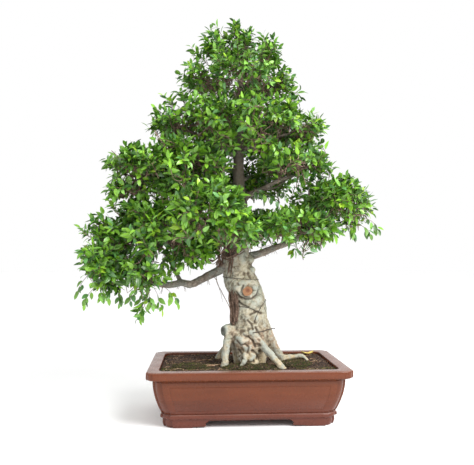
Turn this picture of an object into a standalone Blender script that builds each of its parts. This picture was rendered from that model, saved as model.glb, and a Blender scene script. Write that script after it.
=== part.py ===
"""A fig-tree bonsai in a rectangular fired-clay pot, in metres, +Z up.

The pot is one fired piece: walls, lip, belt and four bracket feet. Inside it lie two drain screens
with their wire clips, a drainage layer and the soil, with moss on top. The trunk and its surface
roots grew as one piece. Each branch is a stem of its own, which leaves the trunk at a collar, and
carries one or two pads of leaves. Every piece hangs on one empty, which puts the middle of the
bottom of the whole object's box at the world's origin.
"""

import math

import bmesh
import bpy
from mathutils import Vector
from mathutils.bvhtree import BVHTree

# Overall sizes of the pot.
POT_WIDTH = 0.600
POT_DEPTH = 0.400
POT_HEIGHT = 0.167

# The tree's own size, and the size at which its points below are drawn.
TREE_HEIGHT = 1.105
TREE_SPREAD = 0.970
DRAWN_HEIGHT = 1.105
DRAWN_SPREAD = 0.970

# The pot's walls, lip, belt and feet. Insets are counted from the lip's outer edge.
WALL = 0.014
FLOOR = 0.012
LIP_WIDTH = 0.035
LIP_HEIGHT = 0.0235
LIP_EDGE_HEIGHT = 0.015
LIP_ROUNDING = 0.003
LIP_UNDERCUT = 0.004
NECK_HEIGHT = 0.008
NECK_INSET = 0.0170
NECK_WAIST = 0.0015
NECK_FLARE = 0.004
BODY_TAPER = 0.0255
BODY_CURVE = 1.8
BODY_STATIONS = 6
CAVITY_COVE = 0.006
CAVITY_COVE_HEIGHT = 0.010
BELT_HEIGHT = 0.012
BELT_RISE = 0.0035
BELT_DROP = 0.004
BELT_TUCK = 0.001
FOOT_HEIGHT = 0.022
FOOT_LENGTH = 0.139
FOOT_FLAT = 0.086
SIDE_FOOT_LENGTH = 0.098
SIDE_FOOT_FLAT = 0.054
FOOT_THICKNESS = 0.024
FOOT_SLOPE = 0.003
BRACKET_RUN = 0.016
BRACKET_ROOF = 0.001
CORNER_NOTCH = 0.029
CORNER_STEP = 0.007
LIP_NOTCH = 0.020
LIP_STEP = 0.004
INNER_RADIUS = 0.024
ARC_POINTS = 5

# Drainage: two holes, each with a screen held by a bent wire.
DRAIN_RADIUS = 0.018
DRAIN_SPACING = 0.260
DRAIN_SIDES = 20
SCREEN_SIZE = 0.047
SCREEN_CELLS = 5
SCREEN_THICKNESS = 0.001
SCREEN_BAR = 0.0028
CLIP_WIRE = 0.0014
CLIP_FOOT = 0.030
CLIP_BEND = 0.002
DRAINAGE_DEPTH = 0.022

# Soil and what lies on it. Heights on the tree start at the root crown, which the soil covers.
SOIL_DROP = 0.009
SOIL_RISE = 0.004
CROWN_DEPTH = 0.011
MOSS_EDGE = 0.0015
DRY_LEAF_LENGTH = 0.044
DRY_LEAF_WIDTH = 0.018
DRY_LEAF_THICKNESS = 0.0012
DRY_LEAF_CURL = 0.010
DRY_LEAF_STATIONS = 9
DRY_LEAF_FROM_SIDE = 0.081
DRY_LEAF_FROM_BACK = 0.080
LEFT_MOSS_FROM_SIDE = 0.122
LEFT_MOSS_FROM_FRONT = 0.125

# Twine tied round the trunk.
TIE_RADIUS = 0.0011
TIE_CLEARANCE = 0.0014
TIE_STEPS = 26

# Gaps between pieces that touch.
GAP = 0.0004
COLLAR_GAP = 0.0016
ROOT_GAP = 0.0006
SOIL_ROOM = 0.0038
LEAF_GAP = 0.0050

# Fineness of the grown pieces: size of the grid they are merged on, and triangles left.
WOOD_GRID = 0.0046
LIMB_GRID = 0.0034
AERIAL_GRID = 0.0026
LEAF_GRID = 0.014
SOCKET_GRID = 0.0030
SOCKET_TRIANGLES = 7000
TRUNK_TRIANGLES = 3000
LIMB_TRIANGLES = 340
AERIAL_TRIANGLES = 260
LEAF_TRIANGLES = 230

# How far a cutter runs past what it cuts, and how far out a search for the trunk's skin starts.
OVERCUT = 0.010
SKIN_SEARCH = 0.20

INNER_FLOOR = FOOT_HEIGHT + FLOOR
SOIL_TOP = POT_HEIGHT - SOIL_DROP
BELT_TOP = FOOT_HEIGHT + BELT_DROP + BELT_HEIGHT
NECK_TOP = POT_HEIGHT - LIP_HEIGHT
BODY_TOP = NECK_TOP - NECK_HEIGHT
BODY_BOTTOM_INSET = NECK_INSET + BODY_TAPER

for leftover in list(bpy.data.objects):
    bpy.data.objects.remove(leftover)

PARTS = bpy.data.collections.new("bonsai_tree_in_pot")
CUTTERS = bpy.data.collections.new("cutters")
bpy.context.scene.collection.children.link(PARTS)
bpy.context.scene.collection.children.link(CUTTERS)


# ---------------------------------------------------------------- helpers

def new_material(name, colour, roughness, metallic=0.0):
    material = bpy.data.materials.new(name)
    material.use_nodes = True
    shader = material.node_tree.nodes["Principled BSDF"]
    shader.inputs["Base Color"].default_value = (*colour, 1.0)
    shader.inputs["Roughness"].default_value = roughness
    shader.inputs["Metallic"].default_value = metallic
    return material


def add_object(name, mesh, material=None, collection=PARTS):
    piece = bpy.data.objects.new(name, mesh)
    collection.objects.link(piece)
    if material:
        mesh.materials.clear()
        mesh.materials.append(material)
    if collection is CUTTERS:
        piece.hide_render = True
        piece.display_type = "WIRE"
    return piece


def mesh_from_bmesh(name, bm):
    bmesh.ops.recalc_face_normals(bm, faces=bm.faces)
    mesh = bpy.data.meshes.new(name)
    bm.to_mesh(mesh)
    bm.free()
    return mesh


def evaluated_mesh(piece):
    """A copy of the piece's mesh with its modifiers applied, caps welded."""
    bpy.context.view_layer.update()
    graph = bpy.context.evaluated_depsgraph_get()
    mesh = bpy.data.meshes.new_from_object(piece.evaluated_get(graph))
    bm = bmesh.new()
    bm.from_mesh(mesh)
    bmesh.ops.remove_doubles(bm, verts=bm.verts, dist=0.00001)
    bm.to_mesh(mesh)
    bm.free()
    return mesh


def loft(name, rings):
    """A closed skin through rings of equal length, capped at both ends."""
    bm = bmesh.new()
    loops = [[bm.verts.new(point) for point in ring] for ring in rings]
    for low, high in zip(loops, loops[1:]):
        for index in range(len(low)):
            following = (index + 1) % len(low)
            bm.faces.new((low[index], low[following], high[following], high[index]))
    bm.faces.new(list(reversed(loops[0])))
    bm.faces.new(loops[-1])
    return mesh_from_bmesh(name, bm)


def add_boolean(piece, other, operation):
    modifier = piece.modifiers.new(operation.lower() + "_" + other.name, "BOOLEAN")
    modifier.operation = operation
    modifier.solver = "EXACT"
    modifier.object = other


def cylinder_cutter(name, radius, bottom, top, x, y, sides):
    bm = bmesh.new()
    bmesh.ops.create_cone(
        bm, cap_ends=True, segments=sides, radius1=radius, radius2=radius, depth=top - bottom
    )
    bmesh.ops.translate(bm, verts=bm.verts, vec=(x, y, (top + bottom) / 2))
    return add_object(name, mesh_from_bmesh(name, bm), collection=CUTTERS)


def box_cutter(name, low, high):
    low, high = Vector(low), Vector(high)
    bm = bmesh.new()
    bmesh.ops.create_cube(bm, size=1.0)
    bmesh.ops.scale(bm, verts=bm.verts, vec=high - low)
    bmesh.ops.translate(bm, verts=bm.verts, vec=(low + high) / 2)
    return add_object(name, mesh_from_bmesh(name, bm), collection=CUTTERS)


# ---------------------------------------------------------------- pot

def corner_plan(half_width, half_depth, notch, step, height):
    """One level of the pot: a rectangle whose corners are rounded and set back by a step."""
    ring = []
    for quarter in range(4):
        side_x = (1, -1, -1, 1)[quarter]
        side_y = (1, 1, -1, -1)[quarter]
        centre = Vector((side_x * (half_width - notch), side_y * (half_depth - notch), height))
        radius = notch - step
        start = math.pi / 2 * quarter
        count = ARC_POINTS if step else ARC_POINTS + 2
        corner = []
        for index in range(count):
            angle = start + math.pi / 2 * index / (count - 1)
            corner.append(centre + radius * Vector((math.cos(angle), math.sin(angle), 0)))
        if step:
            first = corner[0] + step * Vector((math.cos(start), math.sin(start), 0))
            finish = start + math.pi / 2
            last = corner[-1] + step * Vector((math.cos(finish), math.sin(finish), 0))
            corner = [first, *corner, last]
        ring.extend(corner)
    return ring


def pot_level(inset, height, notch=CORNER_NOTCH, step=CORNER_STEP):
    return corner_plan(POT_WIDTH / 2 - inset, POT_DEPTH / 2 - inset, notch, step, height)


def body_inset(height):
    """How far the wall's outside lies in from the lip's edge: it bulges, then draws in."""
    share = (BODY_TOP - height) / (BODY_TOP - BELT_TOP)
    return NECK_INSET + BODY_TAPER * max(share, 0.0) ** BODY_CURVE


def body_heights():
    step = (BODY_TOP - BELT_TOP) / (BODY_STATIONS - 1)
    return [BELT_TOP + step * index for index in range(BODY_STATIONS)]


# The inside of the pot: (height, inset), coved where the wall meets the floor.
CAVITY = [(INNER_FLOOR, BODY_BOTTOM_INSET + WALL + CAVITY_COVE)]
CAVITY += [
    (z, body_inset(z) + WALL) for z in body_heights() if z > INNER_FLOOR + CAVITY_COVE_HEIGHT
]
CAVITY += [(POT_HEIGHT, LIP_WIDTH)]


def cavity_inset(height):
    """The inner wall's inset at any height, straight between the levels in CAVITY."""
    for (low, inset_low), (high, inset_high) in zip(CAVITY, CAVITY[1:]):
        if height <= high:
            return inset_low + (inset_high - inset_low) * (height - low) / (high - low)
    return LIP_WIDTH


def inner_level(height, clearance=0.0, shrink=1.0):
    inset = cavity_inset(height) + clearance
    ring = pot_level(inset, height, INNER_RADIUS, 0)
    return [Vector((p.x * shrink, p.y * shrink, p.z)) for p in ring]


def pot_profile():
    """Inset and height of the pot's outside from the underside to the top of the lip."""
    belt_inset = BODY_BOTTOM_INSET - BELT_RISE
    belt_low = BELT_TOP - BELT_HEIGHT
    rounding = BELT_HEIGHT / 4
    levels = [
        (BODY_BOTTOM_INSET + FOOT_SLOPE, FOOT_HEIGHT),
        (BODY_BOTTOM_INSET + BELT_TUCK, belt_low),
        (belt_inset, belt_low + rounding),
        (belt_inset, BELT_TOP - rounding),
    ]
    levels += [(body_inset(z), z) for z in body_heights()]
    levels += [
        (NECK_INSET + NECK_WAIST, BODY_TOP + NECK_HEIGHT * 0.4),
        (NECK_INSET - NECK_FLARE, NECK_TOP - NECK_HEIGHT / 8),
    ]
    return levels


def bracket_opening(name, half_span, half_run, along_x):
    """Cutter for the arched gap between two feet, with a curled bracket at each end."""
    half_top = half_span - (FOOT_LENGTH if along_x else SIDE_FOOT_LENGTH)
    half_low = half_span - (FOOT_FLAT if along_x else SIDE_FOOT_FLAT)
    rise = FOOT_HEIGHT - BRACKET_ROOF
    side = [
        (half_low, -OVERCUT),
        (half_low, 0.0),
        (half_low - BRACKET_RUN, 0.12 * rise),
        (half_top + BRACKET_RUN, 0.45 * rise),
        (half_top + 0.45 * BRACKET_RUN, 0.57 * rise),
        (half_top + 0.20 * BRACKET_RUN, 0.81 * rise),
        (half_top, rise),
    ]
    outline = [Vector((x, z)) for x, z in side]
    outline += [Vector((-x, z)) for x, z in reversed(side)]
    curve = bpy.data.curves.new(name, "CURVE")
    curve.dimensions = "2D"
    curve.fill_mode = "BOTH"
    curve.extrude = half_run
    spline = curve.splines.new("POLY")
    spline.points.add(len(outline) - 1)
    for point, place in zip(spline.points, outline):
        point.co = (place.x, place.y, 0, 1)
    spline.use_cyclic_u = True
    guide = bpy.data.objects.new(name + "_outline", curve)
    guide.rotation_euler = (math.pi / 2, 0, 0 if along_x else math.pi / 2)
    CUTTERS.objects.link(guide)
    mesh = evaluated_mesh(guide)
    mesh.transform(guide.matrix_world)
    bpy.data.objects.remove(guide)
    bm = bmesh.new()
    bm.from_mesh(mesh)
    return add_object(name, mesh_from_bmesh(name, bm), collection=CUTTERS)


def build_pot(material):
    outside = [pot_level(inset, z) for inset, z in pot_profile()]
    lip = [
        (LIP_UNDERCUT, POT_HEIGHT - LIP_HEIGHT),
        (0.0, POT_HEIGHT - LIP_EDGE_HEIGHT),
        (0.0, POT_HEIGHT - LIP_ROUNDING),
        (LIP_ROUNDING, POT_HEIGHT),
    ]
    outside += [pot_level(inset, z, LIP_NOTCH, LIP_STEP) for inset, z in lip]
    inside = [inner_level(height) for height, _ in reversed(CAVITY)]
    pot = add_object("pot", loft("pot", outside + inside), material)

    feet_top = FOOT_HEIGHT + FLOOR / 2
    outer = pot_level(BODY_BOTTOM_INSET + FOOT_SLOPE, feet_top)
    foot_outer = pot_level(BODY_BOTTOM_INSET + 2 * FOOT_SLOPE, 0.0)
    inner_inset = BODY_BOTTOM_INSET + FOOT_THICKNESS
    hollow_top = pot_level(inner_inset, feet_top, INNER_RADIUS / 2, 0)
    hollow_low = pot_level(inner_inset, -OVERCUT, INNER_RADIUS / 2, 0)
    feet = add_object("feet_ring", loft("feet_ring", [foot_outer, outer]), collection=CUTTERS)
    hollow = add_object("feet_hollow", loft("feet_hollow", [hollow_low, hollow_top]), None, CUTTERS)
    hollow.location.z = FOOT_HEIGHT + BRACKET_ROOF - feet_top
    half_x = POT_WIDTH / 2 - BODY_BOTTOM_INSET - FOOT_SLOPE
    half_y = POT_DEPTH / 2 - BODY_BOTTOM_INSET - FOOT_SLOPE
    long_gap = bracket_opening("long_side_opening", half_x, POT_DEPTH, True)
    short_gap = bracket_opening("short_side_opening", half_y, POT_WIDTH, False)
    for cutter in (hollow, long_gap, short_gap):
        add_boolean(feet, cutter, "DIFFERENCE")
    add_boolean(pot, feet, "UNION")
    for side in (-1, 1):
        hole = cylinder_cutter(
            "drain_hole_cutter", DRAIN_RADIUS, FOOT_HEIGHT - OVERCUT, INNER_FLOOR + OVERCUT,
            side * DRAIN_SPACING / 2, 0.0, DRAIN_SIDES,
        )
        add_boolean(pot, hole, "DIFFERENCE")
    return pot


# ---------------------------------------------------------------- inside the pot

def build_screen(name, x, material):
    """Square of coarse plastic mesh that lies over a drain hole."""
    bm = bmesh.new()
    bmesh.ops.create_grid(
        bm, x_segments=SCREEN_CELLS, y_segments=SCREEN_CELLS, size=SCREEN_SIZE / 2
    )
    cells = list(bm.faces)
    bmesh.ops.inset_individual(bm, faces=cells, thickness=SCREEN_BAR / 2)
    bmesh.ops.delete(bm, geom=cells, context="FACES")
    screen = add_object(name, mesh_from_bmesh(name, bm), material)
    screen.location = (x, 0, INNER_FLOOR + GAP)
    thickness = screen.modifiers.new("thickness", "SOLIDIFY")
    thickness.thickness = SCREEN_THICKNESS
    thickness.offset = 1.0
    return screen


def build_clip(name, x, material):
    """Staple of soft wire: over the screen, down through two of its cells, feet bent outwards."""
    leg = SCREEN_SIZE / SCREEN_CELLS
    over = INNER_FLOOR + GAP + SCREEN_THICKNESS + GAP + CLIP_WIRE / 2
    under = FOOT_HEIGHT - GAP - CLIP_WIRE / 2
    half = [
        (CLIP_FOOT, under),
        (leg + CLIP_BEND, under),
        (leg, under + CLIP_BEND),
        (leg, over - CLIP_BEND / 2),
        (leg - CLIP_BEND / 2, over),
    ]
    points = [Vector((-px, 0, pz)) for px, pz in half]
    points += [Vector((px, 0, pz)) for px, pz in reversed(half)]
    clip = add_object(name, wire_mesh(name, points, CLIP_WIRE / 2), material)
    clip.location = (x, 0, 0)
    return clip


def wire_mesh(name, points, radius, roundness=1):
    """A wire through the points, with filled ends; roundness 0 gives it four sides."""
    curve = bpy.data.curves.new(name, "CURVE")
    curve.dimensions = "3D"
    curve.bevel_depth = radius
    curve.bevel_resolution = roundness
    curve.use_fill_caps = True
    spline = curve.splines.new("POLY")
    spline.points.add(len(points) - 1)
    for point, place in zip(spline.points, points):
        point.co = (*place, 1)
    guide = bpy.data.objects.new(name + "_path", curve)
    CUTTERS.objects.link(guide)
    mesh = evaluated_mesh(guide)
    bpy.data.objects.remove(guide)
    bm = bmesh.new()
    bm.from_mesh(mesh)
    return mesh_from_bmesh(name, bm)


def build_drainage(material):
    top = INNER_FLOOR + DRAINAGE_DEPTH
    heights = [INNER_FLOOR + GAP]
    heights += [z for z, _ in CAVITY if INNER_FLOOR + GAP < z < top] + [top]
    rings = [inner_level(z, GAP) for z in heights]
    layer = add_object("drainage_layer", loft("drainage_layer", rings), material)
    half = SCREEN_SIZE / 2 + GAP
    pocket_top = INNER_FLOOR + SCREEN_THICKNESS + CLIP_WIRE + 4 * GAP
    for side in (-1, 1):
        x = side * DRAIN_SPACING / 2
        pocket = box_cutter(
            "screen_pocket", (x - half, -half, INNER_FLOOR - OVERCUT), (x + half, half, pocket_top)
        )
        add_boolean(layer, pocket, "DIFFERENCE")
    return layer


def build_soil(material, trunk_socket):
    bottom = INNER_FLOOR + DRAINAGE_DEPTH + GAP
    heights = [bottom] + [z for z, _ in CAVITY if bottom < z < SOIL_TOP] + [SOIL_TOP]
    rings = [inner_level(z, GAP) for z in heights]
    for shrink, rise in ((0.93, 0.6), (0.84, 1.0)):
        ring = inner_level(SOIL_TOP, GAP, shrink)
        rings.append([p + Vector((0, 0, SOIL_RISE * rise)) for p in ring])
    soil = add_object("soil", loft("soil", rings), material)
    add_boolean(soil, trunk_socket, "DIFFERENCE")
    return soil


def build_moss(name, material, x, y, half_x, half_y, height, trunk_socket):
    """A low cushion of moss on the flat of the soil, cut round the roots that stand in it."""
    bm = bmesh.new()
    bmesh.ops.create_uvsphere(bm, u_segments=20, v_segments=8, radius=1.0)
    bmesh.ops.bisect_plane(
        bm, geom=bm.verts[:] + bm.edges[:] + bm.faces[:], plane_co=(0, 0, 0),
        plane_no=(0, 0, -1), clear_outer=True, dist=0.0001,
    )
    rim = [edge for edge in bm.edges if edge.is_boundary]
    skirt = bmesh.ops.extrude_edge_only(bm, edges=rim)
    lowered = [item for item in skirt["geom"] if isinstance(item, bmesh.types.BMVert)]
    bmesh.ops.translate(bm, verts=lowered, vec=(0, 0, -MOSS_EDGE / height))
    bmesh.ops.contextual_create(bm, geom=[edge for edge in bm.edges if edge.is_boundary])
    bmesh.ops.scale(bm, verts=bm.verts, vec=(half_x, half_y, height))
    level = SOIL_TOP + SOIL_RISE + GAP + MOSS_EDGE
    bmesh.ops.translate(bm, verts=bm.verts, vec=(x, y, level))
    moss = add_object(name, mesh_from_bmesh(name, bm), material)
    if trunk_socket:
        add_boolean(moss, trunk_socket, "DIFFERENCE")
    return moss


def build_fallen_leaf(material):
    """A dry leaf, curled along its length, lying on the soil near the back right corner."""
    edge_lift = DRY_LEAF_CURL * 0.3
    bm = bmesh.new()
    rows = []
    for index in range(DRY_LEAF_STATIONS):
        along = -1 + 2 * index / (DRY_LEAF_STATIONS - 1)
        x = along * DRY_LEAF_LENGTH / 2
        half = DRY_LEAF_WIDTH / 2 * max(1 - along * along, 0.03) ** 0.7
        lift = DRY_LEAF_CURL * along * along
        row = [
            bm.verts.new((x, -half, lift + edge_lift)),
            bm.verts.new((x, 0, lift)),
            bm.verts.new((x, half, lift + edge_lift)),
        ]
        rows.append(row)
    for low, high in zip(rows, rows[1:]):
        for side in (0, 1):
            bm.faces.new((low[side], high[side], high[side + 1], low[side + 1]))
    leaf = add_object("fallen_leaf", mesh_from_bmesh("fallen_leaf", bm), material)
    solid = leaf.modifiers.new("thickness", "SOLIDIFY")
    solid.thickness = DRY_LEAF_THICKNESS
    solid.offset = 1.0
    leaf.location = (
        POT_WIDTH / 2 - DRY_LEAF_FROM_SIDE,
        POT_DEPTH / 2 - DRY_LEAF_FROM_BACK,
        SOIL_TOP + SOIL_RISE + 2 * GAP + DRY_LEAF_THICKNESS,
    )
    leaf.rotation_euler = (0, 0, math.radians(8))
    return leaf


# ---------------------------------------------------------------- tree

ACROSS = TREE_SPREAD / DRAWN_SPREAD
UPWARDS = TREE_HEIGHT / DRAWN_HEIGHT
CROWN_LEVEL = SOIL_TOP + SOIL_RISE - CROWN_DEPTH


def on_tree(x, y, z):
    """A drawn point in the world: heights start at the root crown, X and Y at the pot's middle."""
    return Vector((x * ACROSS, y * ACROSS, CROWN_LEVEL + z * UPWARDS))


def stroke(points, sides, margin=0.0, steps=5):
    """A tapering stem through drawn points, each (x, y, z, radius), plus a margin all round."""
    if margin:
        last, before = Vector(points[-1][:3]), Vector(points[-2][:3])
        beyond = last + (last - before).normalized() * margin
        points = [*points, (*beyond, points[-1][3])]
    curve = bpy.data.curves.new("stroke", "CURVE")
    curve.dimensions = "3D"
    curve.bevel_depth = 1.0
    curve.bevel_resolution = sides // 2 - 2
    curve.resolution_u = steps
    curve.use_fill_caps = True
    spline = curve.splines.new("BEZIER")
    spline.bezier_points.add(len(points) - 1)
    for knot, (x, y, z, radius) in zip(spline.bezier_points, points):
        knot.co = on_tree(x, y, z)
        knot.radius = radius + margin
        knot.handle_left_type = "AUTO"
        knot.handle_right_type = "AUTO"
    guide = bpy.data.objects.new("stroke", curve)
    CUTTERS.objects.link(guide)
    mesh = evaluated_mesh(guide)
    bpy.data.objects.remove(guide)
    return mesh


def lump(x, y, z, rx, ry, rz):
    """An egg shape about a drawn point, which grows with the tree."""
    bm = bmesh.new()
    bmesh.ops.create_uvsphere(bm, u_segments=16, v_segments=10, radius=1.0)
    bmesh.ops.scale(bm, verts=bm.verts, vec=(rx * ACROSS, ry * ACROSS, rz * UPWARDS))
    bmesh.ops.translate(bm, verts=bm.verts, vec=on_tree(x, y, z))
    return mesh_from_bmesh("lump", bm)


def grow(name, shapes, grid, triangles, material, smoothing=2, collection=PARTS):
    """Merges overlapping closed shapes into one skin, softens it and thins it out."""
    bm = bmesh.new()
    for shape in shapes:
        bm.from_mesh(shape)
    mesh = mesh_from_bmesh(name, bm)
    raw = add_object(name + "_raw", mesh, collection=CUTTERS)
    merge = raw.modifiers.new("merge", "REMESH")
    merge.mode = "VOXEL"
    merge.voxel_size = grid
    merged = add_object(name + "_merged", evaluated_mesh(raw), collection=CUTTERS)
    bpy.data.objects.remove(raw)
    soften = merged.modifiers.new("soften", "SMOOTH")
    soften.factor = 0.5
    soften.iterations = smoothing
    thin = merged.modifiers.new("thin", "DECIMATE")
    thin.ratio = min(1.0, triangles / (2 * len(merged.data.polygons)))
    thinned = evaluated_mesh(merged)
    bpy.data.objects.remove(merged)
    thinned.shade_smooth()
    return add_object(name, thinned, material, collection)


def swollen(piece, by):
    """A cutter that is the piece with its skin moved outwards."""
    cutter = add_object(piece.name + "_clearance", evaluated_mesh(piece), collection=CUTTERS)
    swell = cutter.modifiers.new("swell", "DISPLACE")
    swell.strength = by
    swell.mid_level = 0.0
    mesh = evaluated_mesh(cutter)
    cutter.modifiers.clear()
    cutter.data = mesh
    return cutter


def socket_for(piece, name, room, grid=SOCKET_GRID, triangles=SOCKET_TRIANGLES):
    """A clean cutter round a grown piece: its skin moved outwards, then merged again."""
    skin = swollen(piece, room)
    socket = grow(name, [skin.data], grid, triangles, None, 0, collection=CUTTERS)
    bpy.data.objects.remove(skin)
    return socket


def ring_lumps(centre, normal, major, minor, count):
    """Small lumps set in a ring: the callus that rolled over a cut branch."""
    normal = Vector(normal).normalized()
    side = normal.cross(Vector((0, 0, 1))).normalized()
    up = side.cross(normal)
    lumps = []
    for index in range(count):
        angle = 2 * math.pi * index / count
        place = Vector(centre) + major * (math.cos(angle) * side + math.sin(angle) * up)
        lumps.append(lump(*place, minor, minor, minor))
    return lumps


TRUNK_LINE = [
    (0.012, 0.000, -0.010, 0.050), (0.010, -0.010, 0.071, 0.058), (0.010, -0.012, 0.140, 0.059),
    (0.010, -0.008, 0.196, 0.053), (-0.001, -0.004, 0.243, 0.050), (-0.017, 0.000, 0.291, 0.043),
    (-0.024, 0.000, 0.333, 0.038), (-0.024, 0.002, 0.371, 0.033), (-0.018, 0.008, 0.436, 0.027),
    (-0.018, 0.012, 0.534, 0.021), (-0.024, 0.010, 0.637, 0.018), (-0.021, 0.002, 0.727, 0.015),
    (-0.018, -0.002, 0.825, 0.012), (-0.014, 0.000, 0.960, 0.008),
]


def trunk_shapes():
    """The trunk, its roots, the burl and the callus round a cut branch, all overlapping."""
    left_root = [
        (-0.030, -0.030, 0.125, 0.020), (-0.057, -0.050, 0.092, 0.015),
        (-0.067, -0.068, 0.060, 0.012), (-0.070, -0.080, 0.030, 0.011),
        (-0.072, -0.090, -0.018, 0.014),
    ]
    right_front_root = [
        (0.010, -0.045, 0.135, 0.016), (0.023, -0.066, 0.104, 0.013),
        (0.044, -0.082, 0.076, 0.012), (0.073, -0.095, 0.043, 0.011),
        (0.106, -0.108, 0.006, 0.011), (0.126, -0.116, -0.018, 0.009),
    ]
    right_back_root = [
        (0.020, 0.000, 0.190, 0.026), (0.040, -0.012, 0.150, 0.026),
        (0.064, -0.004, 0.104, 0.022), (0.088, 0.006, 0.058, 0.017),
        (0.119, 0.018, 0.014, 0.014), (0.140, 0.026, -0.014, 0.011),
    ]
    creeping_root = [
        (0.098, 0.012, 0.026, 0.012), (0.128, 0.022, 0.019, 0.010),
        (0.160, 0.030, 0.022, 0.009), (0.186, 0.032, 0.022, 0.008),
        (0.202, 0.034, 0.010, 0.006), (0.210, 0.036, -0.008, 0.005),
    ]
    root_stub = [
        (0.176, 0.030, 0.023, 0.006), (0.190, 0.014, 0.020, 0.005),
        (0.199, 0.002, 0.008, 0.004), (0.202, -0.002, -0.006, 0.004),
    ]
    back_left_root = [
        (-0.014, 0.014, 0.120, 0.026), (-0.046, 0.044, 0.062, 0.020),
        (-0.078, 0.074, 0.018, 0.015), (-0.100, 0.094, -0.014, 0.011),
    ]
    back_root = [
        (0.018, 0.016, 0.120, 0.024), (0.034, 0.056, 0.058, 0.019),
        (0.048, 0.090, 0.016, 0.014), (0.056, 0.108, -0.014, 0.011),
    ]
    small_root = [
        (-0.004, -0.084, 0.046, 0.008), (-0.011, -0.096, 0.032, 0.006),
        (-0.024, -0.106, 0.014, 0.006), (-0.028, -0.112, -0.010, 0.005),
    ]
    cut_stub = [
        (-0.020, -0.020, 0.120, 0.024), (-0.048, -0.035, 0.117, 0.020),
        (-0.073, -0.046, 0.115, 0.018),
    ]
    right_shoulder = [(0.010, -0.004, 0.340, 0.014), (0.022, -0.012, 0.331, 0.010)]
    lines = [
        TRUNK_LINE, left_root, right_front_root, right_back_root, creeping_root, root_stub,
        back_left_root, back_root, small_root, cut_stub, right_shoulder,
    ]
    lumps = [
        (0.004, -0.048, 0.064, 0.042, 0.040, 0.038), (-0.016, -0.052, 0.082, 0.028, 0.032, 0.030),
        (0.030, -0.050, 0.074, 0.030, 0.034, 0.028), (0.000, -0.064, 0.036, 0.026, 0.028, 0.022),
        (0.018, -0.070, 0.022, 0.020, 0.020, 0.018), (-0.036, -0.036, 0.106, 0.026, 0.026, 0.028),
        (0.016, -0.042, 0.104, 0.024, 0.024, 0.040), (0.013, -0.012, 0.303, 0.016, 0.018, 0.014),
    ]
    shapes = [stroke(points, 12) for points in lines]
    shapes += [lump(*values) for values in lumps]
    shapes += ring_lumps((0.006, -0.047, 0.243), (0.08, -1.0, 0.05), 0.0235, 0.0105, 12)
    return shapes


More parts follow.
